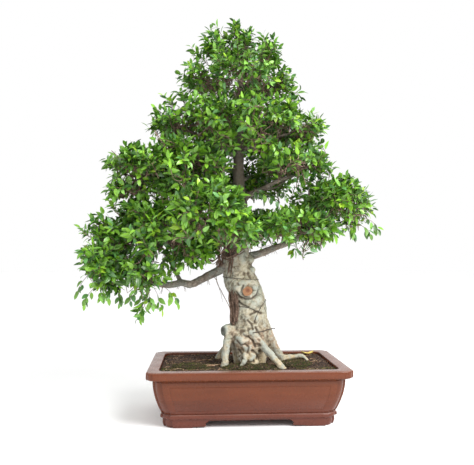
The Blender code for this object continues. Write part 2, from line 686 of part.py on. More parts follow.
BRANCHES = {
    "branch_low_left": [
        [
            (-0.020, 0.000, 0.345, 0.024), (-0.060, -0.006, 0.317, 0.019),
            (-0.093, -0.013, 0.299, 0.0145), (-0.138, -0.024, 0.277, 0.0130),
            (-0.178, -0.030, 0.259, 0.0125), (-0.206, -0.034, 0.264, 0.0110),
            (-0.237, -0.040, 0.258, 0.0115), (-0.280, -0.044, 0.262, 0.0095),
            (-0.316, -0.048, 0.276, 0.0080), (-0.362, -0.052, 0.306, 0.0065),
            (-0.412, -0.054, 0.344, 0.0052), (-0.440, -0.052, 0.376, 0.0045),
        ],
        [
            (-0.206, -0.034, 0.264, 0.008), (-0.232, -0.012, 0.312, 0.0065),
            (-0.262, 0.016, 0.360, 0.005),
        ],
        [
            (-0.290, -0.045, 0.265, 0.007), (-0.302, -0.082, 0.304, 0.006),
            (-0.296, -0.116, 0.350, 0.0045),
        ],
    ],
    "branch_low_right": [
        [
            (-0.018, 0.000, 0.345, 0.019), (0.014, 0.002, 0.348, 0.0145),
            (0.043, 0.004, 0.355, 0.0125), (0.074, 0.008, 0.367, 0.0120),
            (0.112, 0.010, 0.381, 0.0105), (0.154, 0.010, 0.398, 0.0090),
            (0.204, 0.008, 0.434, 0.0075), (0.258, 0.006, 0.474, 0.0060),
            (0.302, 0.006, 0.500, 0.0048),
        ],
        [(0.150, 0.010, 0.397, 0.007), (0.182, -0.030, 0.418, 0.006), (0.206, -0.070, 0.438, 0.0045)],
        [(0.112, 0.010, 0.381, 0.007), (0.142, 0.048, 0.418, 0.0055), (0.176, 0.080, 0.456, 0.0045)],
    ],
    "branch_front": [
        [
            (-0.022, 0.002, 0.385, 0.015), (-0.040, -0.040, 0.398, 0.0115),
            (-0.062, -0.085, 0.414, 0.009), (-0.080, -0.128, 0.436, 0.007),
            (-0.100, -0.166, 0.470, 0.005),
        ],
        [(-0.062, -0.085, 0.414, 0.007), (-0.024, -0.118, 0.436, 0.0055), (0.006, -0.150, 0.466, 0.0045)],
    ],
    "branch_back_low": [
        [
            (-0.020, 0.004, 0.415, 0.014), (-0.026, 0.052, 0.412, 0.011),
            (-0.036, 0.108, 0.420, 0.009), (-0.052, 0.160, 0.440, 0.0065),
            (-0.064, 0.208, 0.466, 0.0048),
        ],
        [(-0.036, 0.108, 0.420, 0.007), (0.012, 0.146, 0.434, 0.0055), (0.050, 0.182, 0.458, 0.0045)],
    ],
    "branch_mid_left": [
        [
            (-0.018, 0.012, 0.508, 0.0135), (-0.050, 0.004, 0.532, 0.0110),
            (-0.094, -0.004, 0.552, 0.0095), (-0.147, -0.012, 0.574, 0.0080),
            (-0.226, -0.020, 0.596, 0.0070), (-0.304, -0.028, 0.612, 0.0058),
            (-0.364, -0.030, 0.630, 0.0045),
        ],
        [(-0.190, -0.016, 0.586, 0.006), (-0.228, 0.028, 0.604, 0.005), (-0.262, 0.062, 0.632, 0.004)],
    ],
    "branch_mid_right": [
        [
            (-0.018, 0.012, 0.522, 0.0125), (0.014, 0.002, 0.546, 0.0100),
            (0.058, -0.008, 0.566, 0.0085), (0.109, -0.014, 0.592, 0.0075),
            (0.147, -0.018, 0.604, 0.0062), (0.190, -0.020, 0.632, 0.0045),
        ],
        [(0.050, -0.006, 0.562, 0.0055), (0.090, 0.004, 0.568, 0.0048), (0.134, 0.026, 0.598, 0.0042)],
    ],
    "branch_back_mid": [
        [
            (-0.022, 0.012, 0.590, 0.0120), (-0.010, 0.056, 0.600, 0.0090),
            (0.010, 0.106, 0.612, 0.0070), (0.030, 0.158, 0.632, 0.0050),
        ],
    ],
    "branch_high_left": [
        [
            (-0.022, 0.008, 0.668, 0.0110), (-0.060, 0.004, 0.690, 0.0085),
            (-0.110, 0.000, 0.716, 0.0070), (-0.165, -0.006, 0.740, 0.0055),
            (-0.208, -0.012, 0.758, 0.0042),
        ],
    ],
    "branch_high_right": [
        [
            (-0.021, 0.004, 0.692, 0.0105), (0.020, -0.004, 0.704, 0.0080),
            (0.070, -0.010, 0.722, 0.0065), (0.124, -0.014, 0.738, 0.0052),
            (0.168, -0.016, 0.752, 0.0042),
        ],
    ],
}

LEAF_PADS = {
    "leaves_apex": [
        (-0.018, 0.000, 1.002, 0.078, 0.105, 0.096), (-0.124, -0.010, 0.915, 0.084, 0.110, 0.066),
        (0.056, -0.010, 0.984, 0.070, 0.105, 0.080), (-0.020, -0.105, 0.922, 0.120, 0.085, 0.080),
        (-0.025, 0.110, 0.925, 0.130, 0.095, 0.080), (0.106, 0.005, 0.905, 0.056, 0.095, 0.062),
        (-0.010, 0.000, 0.910, 0.130, 0.120, 0.070), (-0.088, -0.010, 0.980, 0.070, 0.100, 0.078),
    ],
    "leaves_high_left": [
        (-0.210, -0.020, 0.762, 0.098, 0.115, 0.062), (-0.110, -0.105, 0.772, 0.100, 0.085, 0.082),
        (-0.115, 0.085, 0.778, 0.100, 0.095, 0.072), (-0.070, -0.112, 0.700, 0.062, 0.066, 0.046),
    ],
    "leaves_high_right": [
        (0.172, -0.020, 0.746, 0.090, 0.115, 0.070), (0.082, -0.095, 0.762, 0.095, 0.090, 0.082),
        (0.090, 0.085, 0.770, 0.100, 0.095, 0.075), (0.005, -0.135, 0.762, 0.080, 0.070, 0.078),
        (0.042, -0.118, 0.692, 0.074, 0.066, 0.046),
    ],
    "leaves_high_back": [
        (-0.030, 0.200, 0.750, 0.120, 0.085, 0.078), (0.060, 0.190, 0.738, 0.090, 0.080, 0.068),
    ],
    "leaves_mid_left_outer": [
        (-0.362, -0.030, 0.640, 0.090, 0.110, 0.070), (-0.322, 0.060, 0.636, 0.088, 0.095, 0.066),
        (-0.312, -0.090, 0.628, 0.085, 0.080, 0.064), (-0.362, -0.035, 0.562, 0.084, 0.100, 0.050),
    ],
    "leaves_mid_left_inner": [
        (-0.215, -0.080, 0.652, 0.100, 0.095, 0.076), (-0.140, -0.070, 0.640, 0.090, 0.085, 0.068),
        (-0.190, 0.070, 0.650, 0.105, 0.105, 0.068), (-0.225, -0.060, 0.570, 0.095, 0.090, 0.048),
        (-0.112, -0.085, 0.570, 0.060, 0.070, 0.046),
    ],
    "leaves_mid_right": [
        (0.186, -0.030, 0.664, 0.078, 0.105, 0.070), (0.112, -0.085, 0.664, 0.075, 0.080, 0.058),
        (0.130, 0.075, 0.655, 0.090, 0.095, 0.064),
    ],
    "leaves_back_mid": [
        (-0.010, 0.215, 0.610, 0.130, 0.105, 0.072), (0.085, 0.195, 0.606, 0.090, 0.090, 0.064),
        (-0.120, 0.205, 0.606, 0.095, 0.085, 0.064),
    ],
    "leaves_low_left_outer": [
        (-0.440, -0.060, 0.328, 0.080, 0.115, 0.088), (-0.398, -0.030, 0.414, 0.090, 0.115, 0.064),
        (-0.425, 0.070, 0.362, 0.080, 0.105, 0.082),
    ],
    "leaves_low_left_inner": [
        (-0.292, -0.095, 0.408, 0.096, 0.110, 0.096), (-0.205, -0.085, 0.388, 0.075, 0.095, 0.088),
        (-0.275, 0.075, 0.430, 0.110, 0.115, 0.088), (-0.325, -0.110, 0.300, 0.080, 0.080, 0.066),
        (-0.315, -0.020, 0.482, 0.100, 0.110, 0.052), (-0.150, -0.085, 0.376, 0.060, 0.075, 0.066),
    ],
    "leaves_front": [
        (-0.162, -0.200, 0.470, 0.076, 0.090, 0.088), (-0.078, -0.210, 0.460, 0.080, 0.085, 0.096),
        (-0.022, -0.175, 0.430, 0.058, 0.080, 0.064),
    ],
    "leaves_low_right_inner": [
        (0.170, -0.060, 0.452, 0.080, 0.100, 0.060), (0.098, -0.105, 0.440, 0.075, 0.080, 0.052),
        (0.195, 0.085, 0.468, 0.085, 0.100, 0.064), (0.214, -0.090, 0.434, 0.078, 0.078, 0.058),
    ],
    "leaves_low_right_outer": [
        (0.338, -0.010, 0.510, 0.082, 0.120, 0.080), (0.286, -0.080, 0.526, 0.085, 0.095, 0.080),
        (0.280, 0.090, 0.536, 0.090, 0.100, 0.076),
    ],
    "leaves_back_low": [
        (-0.060, 0.215, 0.456, 0.120, 0.110, 0.085), (0.060, 0.195, 0.446, 0.100, 0.095, 0.074),
        (-0.165, 0.190, 0.450, 0.090, 0.090, 0.076),
    ],
}


def build_branch(name, lines, material, trunk_clearance):
    shapes = [stroke(points, 8) for points in lines]
    branch = grow(name, shapes, LIMB_GRID, LIMB_TRIANGLES, material, 1)
    add_boolean(branch, trunk_clearance, "DIFFERENCE")
    return branch


def build_leaf_pad(name, lumps, material, wood_clearances, earlier_pads):
    """A pad of leaves, cut clear of the wood and of the pads before it, and the room it takes."""
    shapes = [lump(*values) for values in lumps]
    pad = grow(name, shapes, LEAF_GRID, LEAF_TRIANGLES, material, 1)
    clearance = socket_for(pad, name + "_room", LEAF_GAP, LEAF_GRID / 2, 3 * LEAF_TRIANGLES)
    for cutter in (*wood_clearances, *earlier_pads):
        if boxes_meet(pad, cutter):
            add_boolean(pad, cutter, "DIFFERENCE")
    return clearance


def boxes_meet(one, other):
    corners_one = [Vector(corner) for corner in one.bound_box]
    corners_other = [Vector(corner) for corner in other.bound_box]
    for axis in range(3):
        low = max(min(c[axis] for c in corners_one), min(c[axis] for c in corners_other))
        high = min(max(c[axis] for c in corners_one), max(c[axis] for c in corners_other))
        if low > high:
            return False
    return True


def trunk_surface(tree, centre, angle, height):
    """Where a level line from the axis meets the trunk's skin, at a drawn height."""
    axis = on_tree(centre[0], centre[1], height)
    outwards = Vector((math.sin(angle), -math.cos(angle), 0))
    place, _, _, _ = tree.ray_cast(axis + outwards * SKIN_SEARCH, -outwards, SKIN_SEARCH)
    return place, outwards


def build_tie(name, trunk, centre, levels, material):
    """Twine laid on the trunk: levels are (turn in degrees from the front, drawn height)."""
    graph = bpy.context.evaluated_depsgraph_get()
    tree = BVHTree.FromObject(trunk, graph)
    points = []
    for turn, height in levels:
        place, outwards = trunk_surface(tree, centre, math.radians(turn), height)
        points.append(place + outwards * (TIE_RADIUS + TIE_CLEARANCE))
    return add_object(name, wire_mesh(name, points, TIE_RADIUS, 0), material)


def tie_levels(turns_and_heights):
    """Fills in the stretch between chosen (turn, height) points evenly."""
    filled = []
    spread = abs(turns_and_heights[-1][0] - turns_and_heights[0][0])
    for (turn_a, height_a), (turn_b, height_b) in zip(turns_and_heights, turns_and_heights[1:]):
        steps = max(1, round(TIE_STEPS * abs(turn_b - turn_a) / spread))
        for index in range(steps):
            share = index / steps
            turn = turn_a + (turn_b - turn_a) * share
            filled.append((turn, height_a + (height_b - height_a) * share))
    filled.append(turns_and_heights[-1])
    return filled


AERIAL_ROOTS = {
    "aerial_roots_bundle": [
        [
            (-0.052, -0.016, 0.285, 0.006), (-0.055, -0.030, 0.240, 0.007),
            (-0.056, -0.040, 0.190, 0.0075), (-0.054, -0.044, 0.146, 0.006),
        ],
        [
            (-0.044, -0.028, 0.280, 0.005), (-0.046, -0.042, 0.236, 0.006),
            (-0.046, -0.052, 0.190, 0.0065), (-0.044, -0.054, 0.150, 0.005),
        ],
        [
            (-0.058, -0.004, 0.275, 0.005), (-0.062, -0.014, 0.230, 0.006),
            (-0.063, -0.026, 0.186, 0.006), (-0.061, -0.034, 0.150, 0.005),
        ],
    ],
    "aerial_root_hanging": [
        [
            (-0.096, -0.016, 0.280, 0.0016), (-0.088, -0.022, 0.256, 0.0015),
            (-0.078, -0.030, 0.222, 0.0015), (-0.068, -0.040, 0.180, 0.0014),
        ],
    ],
    "aerial_roots_tangle": [
        [
            (-0.076, -0.010, 0.410, 0.004), (-0.088, -0.016, 0.376, 0.0045),
            (-0.084, -0.020, 0.345, 0.004), (-0.080, -0.022, 0.328, 0.0035),
        ],
        [
            (-0.064, -0.014, 0.400, 0.0035), (-0.070, -0.022, 0.372, 0.004),
            (-0.078, -0.026, 0.346, 0.004), (-0.078, -0.024, 0.330, 0.0035),
        ],
        [
            (-0.104, -0.012, 0.396, 0.0035), (-0.098, -0.018, 0.366, 0.004),
            (-0.086, -0.020, 0.346, 0.004),
        ],
    ],
}

# Ties: the trunk's axis that each is laid round, and its (turn in degrees, drawn height) points.
TIES = {
    "tie_ring": ((-0.015, 0.000), [(-172, 0.296), (172, 0.284)]),
    "tie_loop": (
        (0.006, -0.008),
        [(14, 0.142), (24, 0.168), (70, 0.206), (180, 0.214), (290, 0.196), (356, 0.188)],
    ),
    "tie_wire_end": ((0.010, -0.010), [(12, 0.118), (60, 0.121), (95, 0.122)]),
}


def build_tree(bark, branch_bark, aerial_bark, leaf, twine):
    trunk = grow("trunk", trunk_shapes(), WOOD_GRID, TRUNK_TRIANGLES, bark)
    socket = socket_for(trunk, "collar_socket", COLLAR_GAP)
    soil_socket = socket_for(trunk, "soil_socket", SOIL_ROOM)
    branches = [build_branch(name, lines, branch_bark, socket) for name, lines in BRANCHES.items()]
    around = [socket, *(swollen(branch, ROOT_GAP) for branch in branches)]
    for name, lines in AERIAL_ROOTS.items():
        shapes = [stroke(points, 6) for points in lines]
        if len(lines) > 1:
            root = grow(name, shapes, AERIAL_GRID, AERIAL_TRIANGLES, aerial_bark, 1)
        else:
            root = add_object(name, shapes[0], aerial_bark)
        for cutter in around:
            if boxes_meet(root, cutter):
                add_boolean(root, cutter, "DIFFERENCE")
    for name, (axis, turns_and_heights) in TIES.items():
        build_tie(name, trunk, axis, tie_levels(turns_and_heights), twine)
    wood_lines = [TRUNK_LINE]
    for lines in (*BRANCHES.values(), *AERIAL_ROOTS.values()):
        wood_lines.extend(lines)
    wood_clearances = [
        add_object("wood_clearance", stroke(points, 6, LEAF_GAP, 2), collection=CUTTERS)
        for points in wood_lines
    ]
    pad_clearances = []
    for name, lumps in LEAF_PADS.items():
        clearance = build_leaf_pad(name, lumps, leaf, wood_clearances, pad_clearances)
        pad_clearances.append(clearance)
    return soil_socket


def settle_on_origin(anchor):
    """Moves the empty so that the middle of the bottom of the whole box is the world's origin."""
    bpy.context.view_layer.update()
    graph = bpy.context.evaluated_depsgraph_get()
    low = Vector((math.inf, math.inf, math.inf))
    high = -low
    for piece in PARTS.objects:
        if piece.type == "EMPTY":
            continue
        shape = piece.evaluated_get(graph)
        for vertex in shape.data.vertices:
            place = shape.matrix_world @ vertex.co
            for axis in range(3):
                low[axis] = min(low[axis], place[axis])
                high[axis] = max(high[axis], place[axis])
    for piece in (*PARTS.objects, *CUTTERS.objects):
        if piece is not anchor:
            piece.parent = anchor
    anchor.location = (-(low.x + high.x) / 2, -(low.y + high.y) / 2, -low.z)


def build():
    clay = new_material("fired_clay", (0.23, 0.075, 0.040), 0.42)
    plastic = new_material("screen_plastic", (0.02, 0.02, 0.02), 0.6)
    wire = new_material("clip_wire", (0.72, 0.72, 0.74), 0.35, 1.0)
    pumice = new_material("drainage_grit", (0.42, 0.38, 0.32), 0.95)
    earth = new_material("soil", (0.055, 0.032, 0.022), 1.0)
    moss = new_material("moss", (0.075, 0.11, 0.018), 1.0)
    dry_leaf = new_material("dry_leaf", (0.62, 0.42, 0.08), 0.6)
    bark = new_material("bark", (0.42, 0.37, 0.29), 0.85)
    branch_bark = new_material("branch_bark", (0.15, 0.125, 0.10), 0.85)
    aerial_bark = new_material("aerial_root_bark", (0.13, 0.085, 0.06), 0.85)
    leaf = new_material("leaf_green", (0.05, 0.17, 0.02), 0.4)
    twine = new_material("twine", (0.07, 0.055, 0.045), 0.8)

    build_pot(clay)
    for side, place in (("left", -DRAIN_SPACING / 2), ("right", DRAIN_SPACING / 2)):
        build_screen("drain_screen_" + side, place, plastic)
        build_clip("screen_clip_" + side, place, wire)
    build_drainage(pumice)
    socket = build_tree(bark, branch_bark, aerial_bark, leaf, twine)
    build_soil(earth, socket)
    left_moss_x = LEFT_MOSS_FROM_SIDE - POT_WIDTH / 2
    left_moss_y = LEFT_MOSS_FROM_FRONT - POT_DEPTH / 2
    front_moss = on_tree(0.000, -0.094, 0.0)
    right_moss = on_tree(0.150, -0.050, 0.0)
    build_moss("moss_left", moss, left_moss_x, left_moss_y, 0.052, 0.040, 0.006, None)
    build_moss("moss_front", moss, front_moss.x, front_moss.y, 0.085, 0.046, 0.007, socket)
    build_moss("moss_right", moss, right_moss.x, right_moss.y, 0.052, 0.055, 0.008, socket)
    build_fallen_leaf(dry_leaf)

    anchor = bpy.data.objects.new("bonsai_frame", None)
    PARTS.objects.link(anchor)
    settle_on_origin(anchor)


build()
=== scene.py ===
"""A fig-tree bonsai in a rectangular fired-clay pot: the finished look of every piece.

Sizes are in metres. Places on the tree are given from the middle of the pot, and their heights from the
tree's root crown, a little under the top of the soil.
"""

import math
import random

import bmesh
import bpy
import numpy as np
from mathutils import Matrix, Vector
from mathutils.bvhtree import BVHTree


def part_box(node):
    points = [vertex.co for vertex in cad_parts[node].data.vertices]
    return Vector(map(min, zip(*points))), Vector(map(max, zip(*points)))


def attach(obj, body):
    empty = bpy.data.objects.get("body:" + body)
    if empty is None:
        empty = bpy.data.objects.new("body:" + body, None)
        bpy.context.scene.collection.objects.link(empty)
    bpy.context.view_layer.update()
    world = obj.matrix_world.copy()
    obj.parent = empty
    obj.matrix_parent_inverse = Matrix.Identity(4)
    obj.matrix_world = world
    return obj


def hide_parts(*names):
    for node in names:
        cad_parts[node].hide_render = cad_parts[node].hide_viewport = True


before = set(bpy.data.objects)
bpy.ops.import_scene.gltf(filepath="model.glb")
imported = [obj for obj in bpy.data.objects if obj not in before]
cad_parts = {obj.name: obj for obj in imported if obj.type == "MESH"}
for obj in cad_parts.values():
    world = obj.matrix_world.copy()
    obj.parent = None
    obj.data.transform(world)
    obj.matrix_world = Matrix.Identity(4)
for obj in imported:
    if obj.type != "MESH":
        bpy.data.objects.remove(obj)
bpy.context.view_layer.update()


# ------------------------------------------------------------------------------------------- pot
# The pot is one piece of unglazed brown clay, pressed in a mould, smoothed by hand and fired.
# Its walls bulge to a belt near the bottom and draw in under a flat flared lip. Corners are set
# back by a step, a shallow line frames each wall, and the wall runs down into four bracket feet.

pot_low, pot_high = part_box("pot")
MIDDLE = (pot_low + pot_high) / 2
HALF_WIDTH = (pot_high.x - pot_low.x) / 2
HALF_DEPTH = (pot_high.y - pot_low.y) / 2
RIM = pot_high.z
POT_WALL = 0.014
UNDERSIDE = 0.022
INNER_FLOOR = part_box("drainage_layer")[0].z - 0.0004
BELT_LOW = 0.026
BELT_TOP = 0.038
LIP_HEIGHT = 0.0235
NECK_TOP = RIM - LIP_HEIGHT
BODY_TOP = NECK_TOP - 0.008
LIP_WIDTH = 0.035
NECK_INSET = 0.0170
BODY_TAPER = 0.0255
FOOT_INSET = NECK_INSET + BODY_TAPER
LINE_WIDTH = 0.0012
LINE_DEPTH = 0.0010
LINE_FROM_CORNER = 0.020
LINE_LOW = BELT_TOP + 0.012
LINE_HIGH = BODY_TOP - 0.014
INNER_RADIUS = 0.024
ARC_STEPS = 9
LIP_NOTCH, LIP_STEP = 0.020, 0.004
RIM_ROUND = 0.0042
DRAIN_RADIUS = 0.018
LONG_FOOT, LONG_FOOT_FLAT = 0.139, 0.086
SHORT_FOOT, SHORT_FOOT_FLAT = 0.098, 0.054


def pick(*pieces):
    """Selects only these pieces, with the first one active."""
    bpy.ops.object.select_all(action="DESELECT")
    for piece in pieces:
        piece.select_set(True)
    bpy.context.view_layer.objects.active = pieces[0]


def level(inset, height, notch=0.029, step=0.007, sunk=0.0, sunk_span=False):
    """One level of the pot. Its corners are round and set back by a step. The framing line's
    upright runs lie sunk at each end of a side, and sunk_span sinks all that is between them."""
    half_x, half_y = HALF_WIDTH - inset, HALF_DEPTH - inset
    ring = []
    for quarter in range(4):
        side_x, side_y = (1, -1, -1, 1)[quarter], (1, 1, -1, -1)[quarter]
        centre = Vector((side_x * (half_x - notch), side_y * (half_y - notch), height))
        start = math.pi / 2 * quarter
        count = ARC_STEPS if step else ARC_STEPS + 2
        corner = []
        for index in range(count):
            angle = start + math.pi / 2 * index / (count - 1)
            corner.append(centre + (notch - step) * Vector((math.cos(angle), math.sin(angle), 0)))
        first = Vector((math.cos(start), math.sin(start), 0))
        last = Vector((-math.sin(start), math.cos(start), 0))
        if step:
            corner = [corner[0] + step * first, *corner, corner[-1] + step * last]
        ring.extend(corner)
        along = Vector((-math.sin(start), math.cos(start), 0)).cross(Vector((0, 0, -1)))
        side_length = 2 * ((half_x if quarter % 2 == 0 else half_y) - notch)
        near = [LINE_FROM_CORNER, LINE_FROM_CORNER + LINE_WIDTH, LINE_FROM_CORNER + 2 * LINE_WIDTH]
        places = near + [side_length - value for value in reversed(near)]
        depths = [0, sunk, sunk if sunk_span else 0, sunk if sunk_span else 0, sunk, 0]
        for place, depth in zip(places, depths):
            ring.append(corner[-1] + along * place - last * depth)
    return [Vector((MIDDLE.x + p.x, MIDDLE.y + p.y, p.z)) for p in ring]


def body_inset(height):
    """How far the wall's outside lies in from the lip's edge: it bulges, then draws in."""
    share = (BODY_TOP - height) / (BODY_TOP - BELT_TOP)
    return NECK_INSET + BODY_TAPER * max(share, 0.0) ** 1.8


def pull_up(name, rings):
    """A closed skin: a filled ring is extruded from level to level and set to each level's line."""
    bpy.ops.object.select_all(action="DESELECT")
    bpy.ops.mesh.primitive_circle_add(vertices=len(rings[0]), fill_type="NGON")
    piece = bpy.context.object
    piece.name = name
    bpy.ops.object.mode_set(mode="EDIT")
    shape = bmesh.from_edit_mesh(piece.data)
    for vertex, place in zip(shape.verts, rings[0]):
        vertex.co = place
    for before, ring in zip(rings, rings[1:]):
        bpy.ops.mesh.extrude_region_move()
        shape = bmesh.from_edit_mesh(piece.data)
        for vertex in [v for v in shape.verts if v.select]:
            nearest = min(range(len(ring)), key=lambda i: (vertex.co - before[i]).length_squared)
            vertex.co = ring[nearest]
    bmesh.update_edit_mesh(piece.data)
    bpy.ops.mesh.select_all(action="SELECT")
    bpy.ops.mesh.normals_make_consistent(inside=False)
    bpy.ops.object.mode_set(mode="OBJECT")
    return piece


def apply_modifier(piece, name, kind, **settings):
    """Adds a modifier with these settings and applies it."""
    pick(piece)
    modifier = piece.modifiers.new(name, kind)
    for key, value in settings.items():
        setattr(modifier, key, value)
    bpy.ops.object.modifier_apply(modifier=name)


def cut(piece, cutter, operation="DIFFERENCE"):
    """Cuts one shape from a piece, or joins it on, and removes the shape."""
    apply_modifier(piece, "cut", "BOOLEAN", operation=operation, object=cutter, solver="EXACT")
    bpy.data.objects.remove(cutter)


def foot_gap(half_span, foot_length, flat, run, turned):
    """The arched gap between two feet: each foot's end curls over like a cloud."""
    half_top, half_low = half_span - foot_length, half_span - flat
    side = [(half_low, -0.01), (half_low, 0.0), (half_low - 0.003, 0.0022), (half_low - 0.016, 0.0030)]
    for index in range(7):
        angle = math.radians(-90 - 30 * index)
        side.append((half_top + 0.016 + 0.0042 * math.cos(angle), 0.0075 + 0.0042 * math.sin(angle)))
    side += [(half_top + 0.014 - 0.0023 * k, 0.0125 + 0.0017 * k) for k in range(6)]
    outline = [Vector((x, 0, z)) for x, z in side]
    outline += [Vector((-x, 0, z)) for x, z in reversed(side)]
    bpy.ops.object.select_all(action="DESELECT")
    bpy.ops.mesh.primitive_circle_add(vertices=len(outline), fill_type="NGON")
    gap = bpy.context.object
    for vertex, place in zip(gap.data.vertices, outline):
        vertex.co = place + Vector((0, -run, 0))
    bpy.ops.object.mode_set(mode="EDIT")
    bpy.ops.mesh.select_all(action="SELECT")
    bpy.ops.mesh.extrude_region_move(TRANSFORM_OT_translate={"value": (0, 2 * run, 0)})
    bpy.ops.mesh.select_all(action="SELECT")
    bpy.ops.mesh.normals_make_consistent(inside=False)
    bpy.ops.object.mode_set(mode="OBJECT")
    turn = Matrix.Rotation(math.pi / 2 if turned else 0.0, 4, "Z")
    gap.data.transform(Matrix.Translation((MIDDLE.x, MIDDLE.y, 0)) @ turn)
    return gap


def pot_levels():
    """The pot's levels from its underside up over the belt, wall and lip, and down the inside."""
    rings = [level(FOOT_INSET + 0.003, UNDERSIDE), level(FOOT_INSET + 0.0012, BELT_LOW - 0.0006)]
    for index in range(7):
        angle = math.pi * index / 6
        middle = (BELT_LOW + BELT_TOP) / 2
        bulge = 0.0040 * math.sin(angle) ** 0.7
        rings.append(level(FOOT_INSET - bulge, middle - math.cos(angle) * (BELT_TOP - BELT_LOW) / 2))
    rings.append(level(FOOT_INSET + 0.0010, BELT_TOP + 0.0012))
    heights = [BELT_TOP + 0.003 + (BODY_TOP - BELT_TOP - 0.003) * index / 13 for index in range(14)]
    for line in (LINE_LOW, LINE_HIGH):
        heights = [z for z in heights if abs(z - line) > 2.4 * LINE_WIDTH]
    for line in (LINE_LOW, LINE_HIGH):
        heights += [line - LINE_WIDTH, line, line + LINE_WIDTH]
    for z in sorted(heights):
        upright = LINE_LOW - 1e-6 < z < LINE_HIGH + 1e-6
        across = z in (LINE_LOW, LINE_HIGH)
        rings.append(level(body_inset(z), z, sunk=LINE_DEPTH if upright else 0, sunk_span=across))
    rings.append(level(NECK_INSET + 0.0012, BODY_TOP + 0.0012))
    rings.append(level(NECK_INSET + 0.0016, BODY_TOP + 0.0035))
    rings.append(level(NECK_INSET - 0.0010, NECK_TOP - 0.0022))
    rings.append(level(NECK_INSET - 0.0050, NECK_TOP - 0.0008))
    lip_edge = (
        (0.0040, LIP_HEIGHT), (0.0012, LIP_HEIGHT - 0.0015), (0.0, LIP_HEIGHT - 0.0050), (0.0, 0.0045),
    )
    for inset, drop in lip_edge:
        rings.append(level(inset, RIM - drop, LIP_NOTCH, LIP_STEP))
    for angle in (30, 60, 90):
        turn = math.radians(angle)
        inset, drop = RIM_ROUND * (1 - math.cos(turn)), RIM_ROUND * (1 - math.sin(turn))
        rings.append(level(inset, RIM - drop, LIP_NOTCH, LIP_STEP))
    for inset in (LIP_WIDTH - 0.0030, LIP_WIDTH - 0.0009):
        rings.append(level(inset, RIM - (0.0 if inset < LIP_WIDTH - 0.002 else 0.0007), INNER_RADIUS, 0))
    rings.append(level(LIP_WIDTH, RIM - 0.0028, INNER_RADIUS, 0))
    inner = [z for z in heights[::2] if INNER_FLOOR + 0.012 < z < RIM - 0.02]
    for z in sorted(inner, reverse=True):
        rings.append(level(body_inset(z) + POT_WALL, z, INNER_RADIUS, 0))
    rings.append(level(FOOT_INSET + POT_WALL + 0.006, INNER_FLOOR, INNER_RADIUS, 0))
    return rings


pot = pull_up("fired_pot", pot_levels())
feet = pull_up("feet", [level(FOOT_INSET + 0.006, 0.0), level(FOOT_INSET + 0.0052, 0.002),
                        level(FOOT_INSET + 0.0025, 0.012), level(FOOT_INSET + 0.0030, UNDERSIDE + 0.006)])
cut(feet, pull_up("hollow", [level(FOOT_INSET + 0.024, -0.01, 0.012, 0),
                             level(FOOT_INSET + 0.024, UNDERSIDE + 0.001, 0.012, 0)]))
cut(feet, foot_gap(HALF_WIDTH - FOOT_INSET - 0.003, LONG_FOOT, LONG_FOOT_FLAT, 2 * HALF_DEPTH, False))
cut(feet, foot_gap(HALF_DEPTH - FOOT_INSET - 0.003, SHORT_FOOT, SHORT_FOOT_FLAT, 2 * HALF_WIDTH, True))
cut(pot, feet, "UNION")
for node in ("drain_screen_left", "drain_screen_right"):
    screen_low, screen_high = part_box(node)
    bpy.ops.mesh.primitive_cylinder_add(
        vertices=48, radius=DRAIN_RADIUS, depth=0.06,
        location=((screen_low.x + screen_high.x) / 2, (screen_low.y + screen_high.y) / 2, INNER_FLOOR),
    )
    cut(pot, bpy.context.object)
apply_modifier(pot, "soft_edges", "BEVEL", width=0.0007, segments=2, limit_method="ANGLE",
               angle_limit=math.radians(38))
pick(pot)
bpy.ops.object.shade_smooth_by_angle(angle=math.radians(38))


def new_finish(name, roughness, metallic=0.0):
    """A material, its node tree and its shader."""
    material = bpy.data.materials.new(name)
    material.use_nodes = True
    tree = material.node_tree
    shader = tree.nodes["Principled BSDF"]
    shader.inputs["Roughness"].default_value = roughness
    shader.inputs["Metallic"].default_value = metallic
    return material, tree, shader


def put(socket, value):
    """Links a socket to another one, or sets it."""
    if isinstance(value, bpy.types.NodeSocket):
        socket.id_data.links.new(value, socket)
    elif hasattr(socket.default_value, "__len__") and len(value) == 3 and len(socket.default_value) == 4:
        socket.default_value = (*value, 1.0)
    else:
        socket.default_value = value


def place_of(tree, stretch=(1, 1, 1)):
    """The piece's own coordinates, stretched."""
    coordinates = tree.nodes.new("ShaderNodeTexCoord")
    mapping = tree.nodes.new("ShaderNodeMapping")
    mapping.inputs["Scale"].default_value = stretch
    tree.links.new(coordinates.outputs["Object"], mapping.inputs["Vector"])
    return mapping.outputs["Vector"]


def clouds(tree, vector, scale, detail=4.0, rough=0.55, twist=0.0):
    """Soft random clouds, from nought to one."""
    texture = tree.nodes.new("ShaderNodeTexNoise")
    tree.links.new(vector, texture.inputs["Vector"])
    texture.inputs["Scale"].default_value = scale
    texture.inputs["Detail"].default_value = detail
    texture.inputs["Roughness"].default_value = rough
    texture.inputs["Distortion"].default_value = twist
    return texture.outputs["Fac"]


def cells(tree, vector, scale, feature="F1"):
    """The distance inside a pattern of random cells."""
    texture = tree.nodes.new("ShaderNodeTexVoronoi")
    texture.feature = feature
    tree.links.new(vector, texture.inputs["Vector"])
    texture.inputs["Scale"].default_value = scale
    return texture.outputs["Distance"]


def shades(tree, value, *stops):
    """Turns a value into colours: stops are (value, colour)."""
    ramp = tree.nodes.new("ShaderNodeValToRGB")
    while len(ramp.color_ramp.elements) < len(stops):
        ramp.color_ramp.elements.new(0.5)
    for element, (position, colour) in zip(ramp.color_ramp.elements, stops):
        element.position = position
        element.color = (*colour, 1.0) if hasattr(colour, "__len__") else (colour, colour, colour, 1.0)
    tree.links.new(value, ramp.inputs["Fac"])
    return ramp.outputs["Color"]


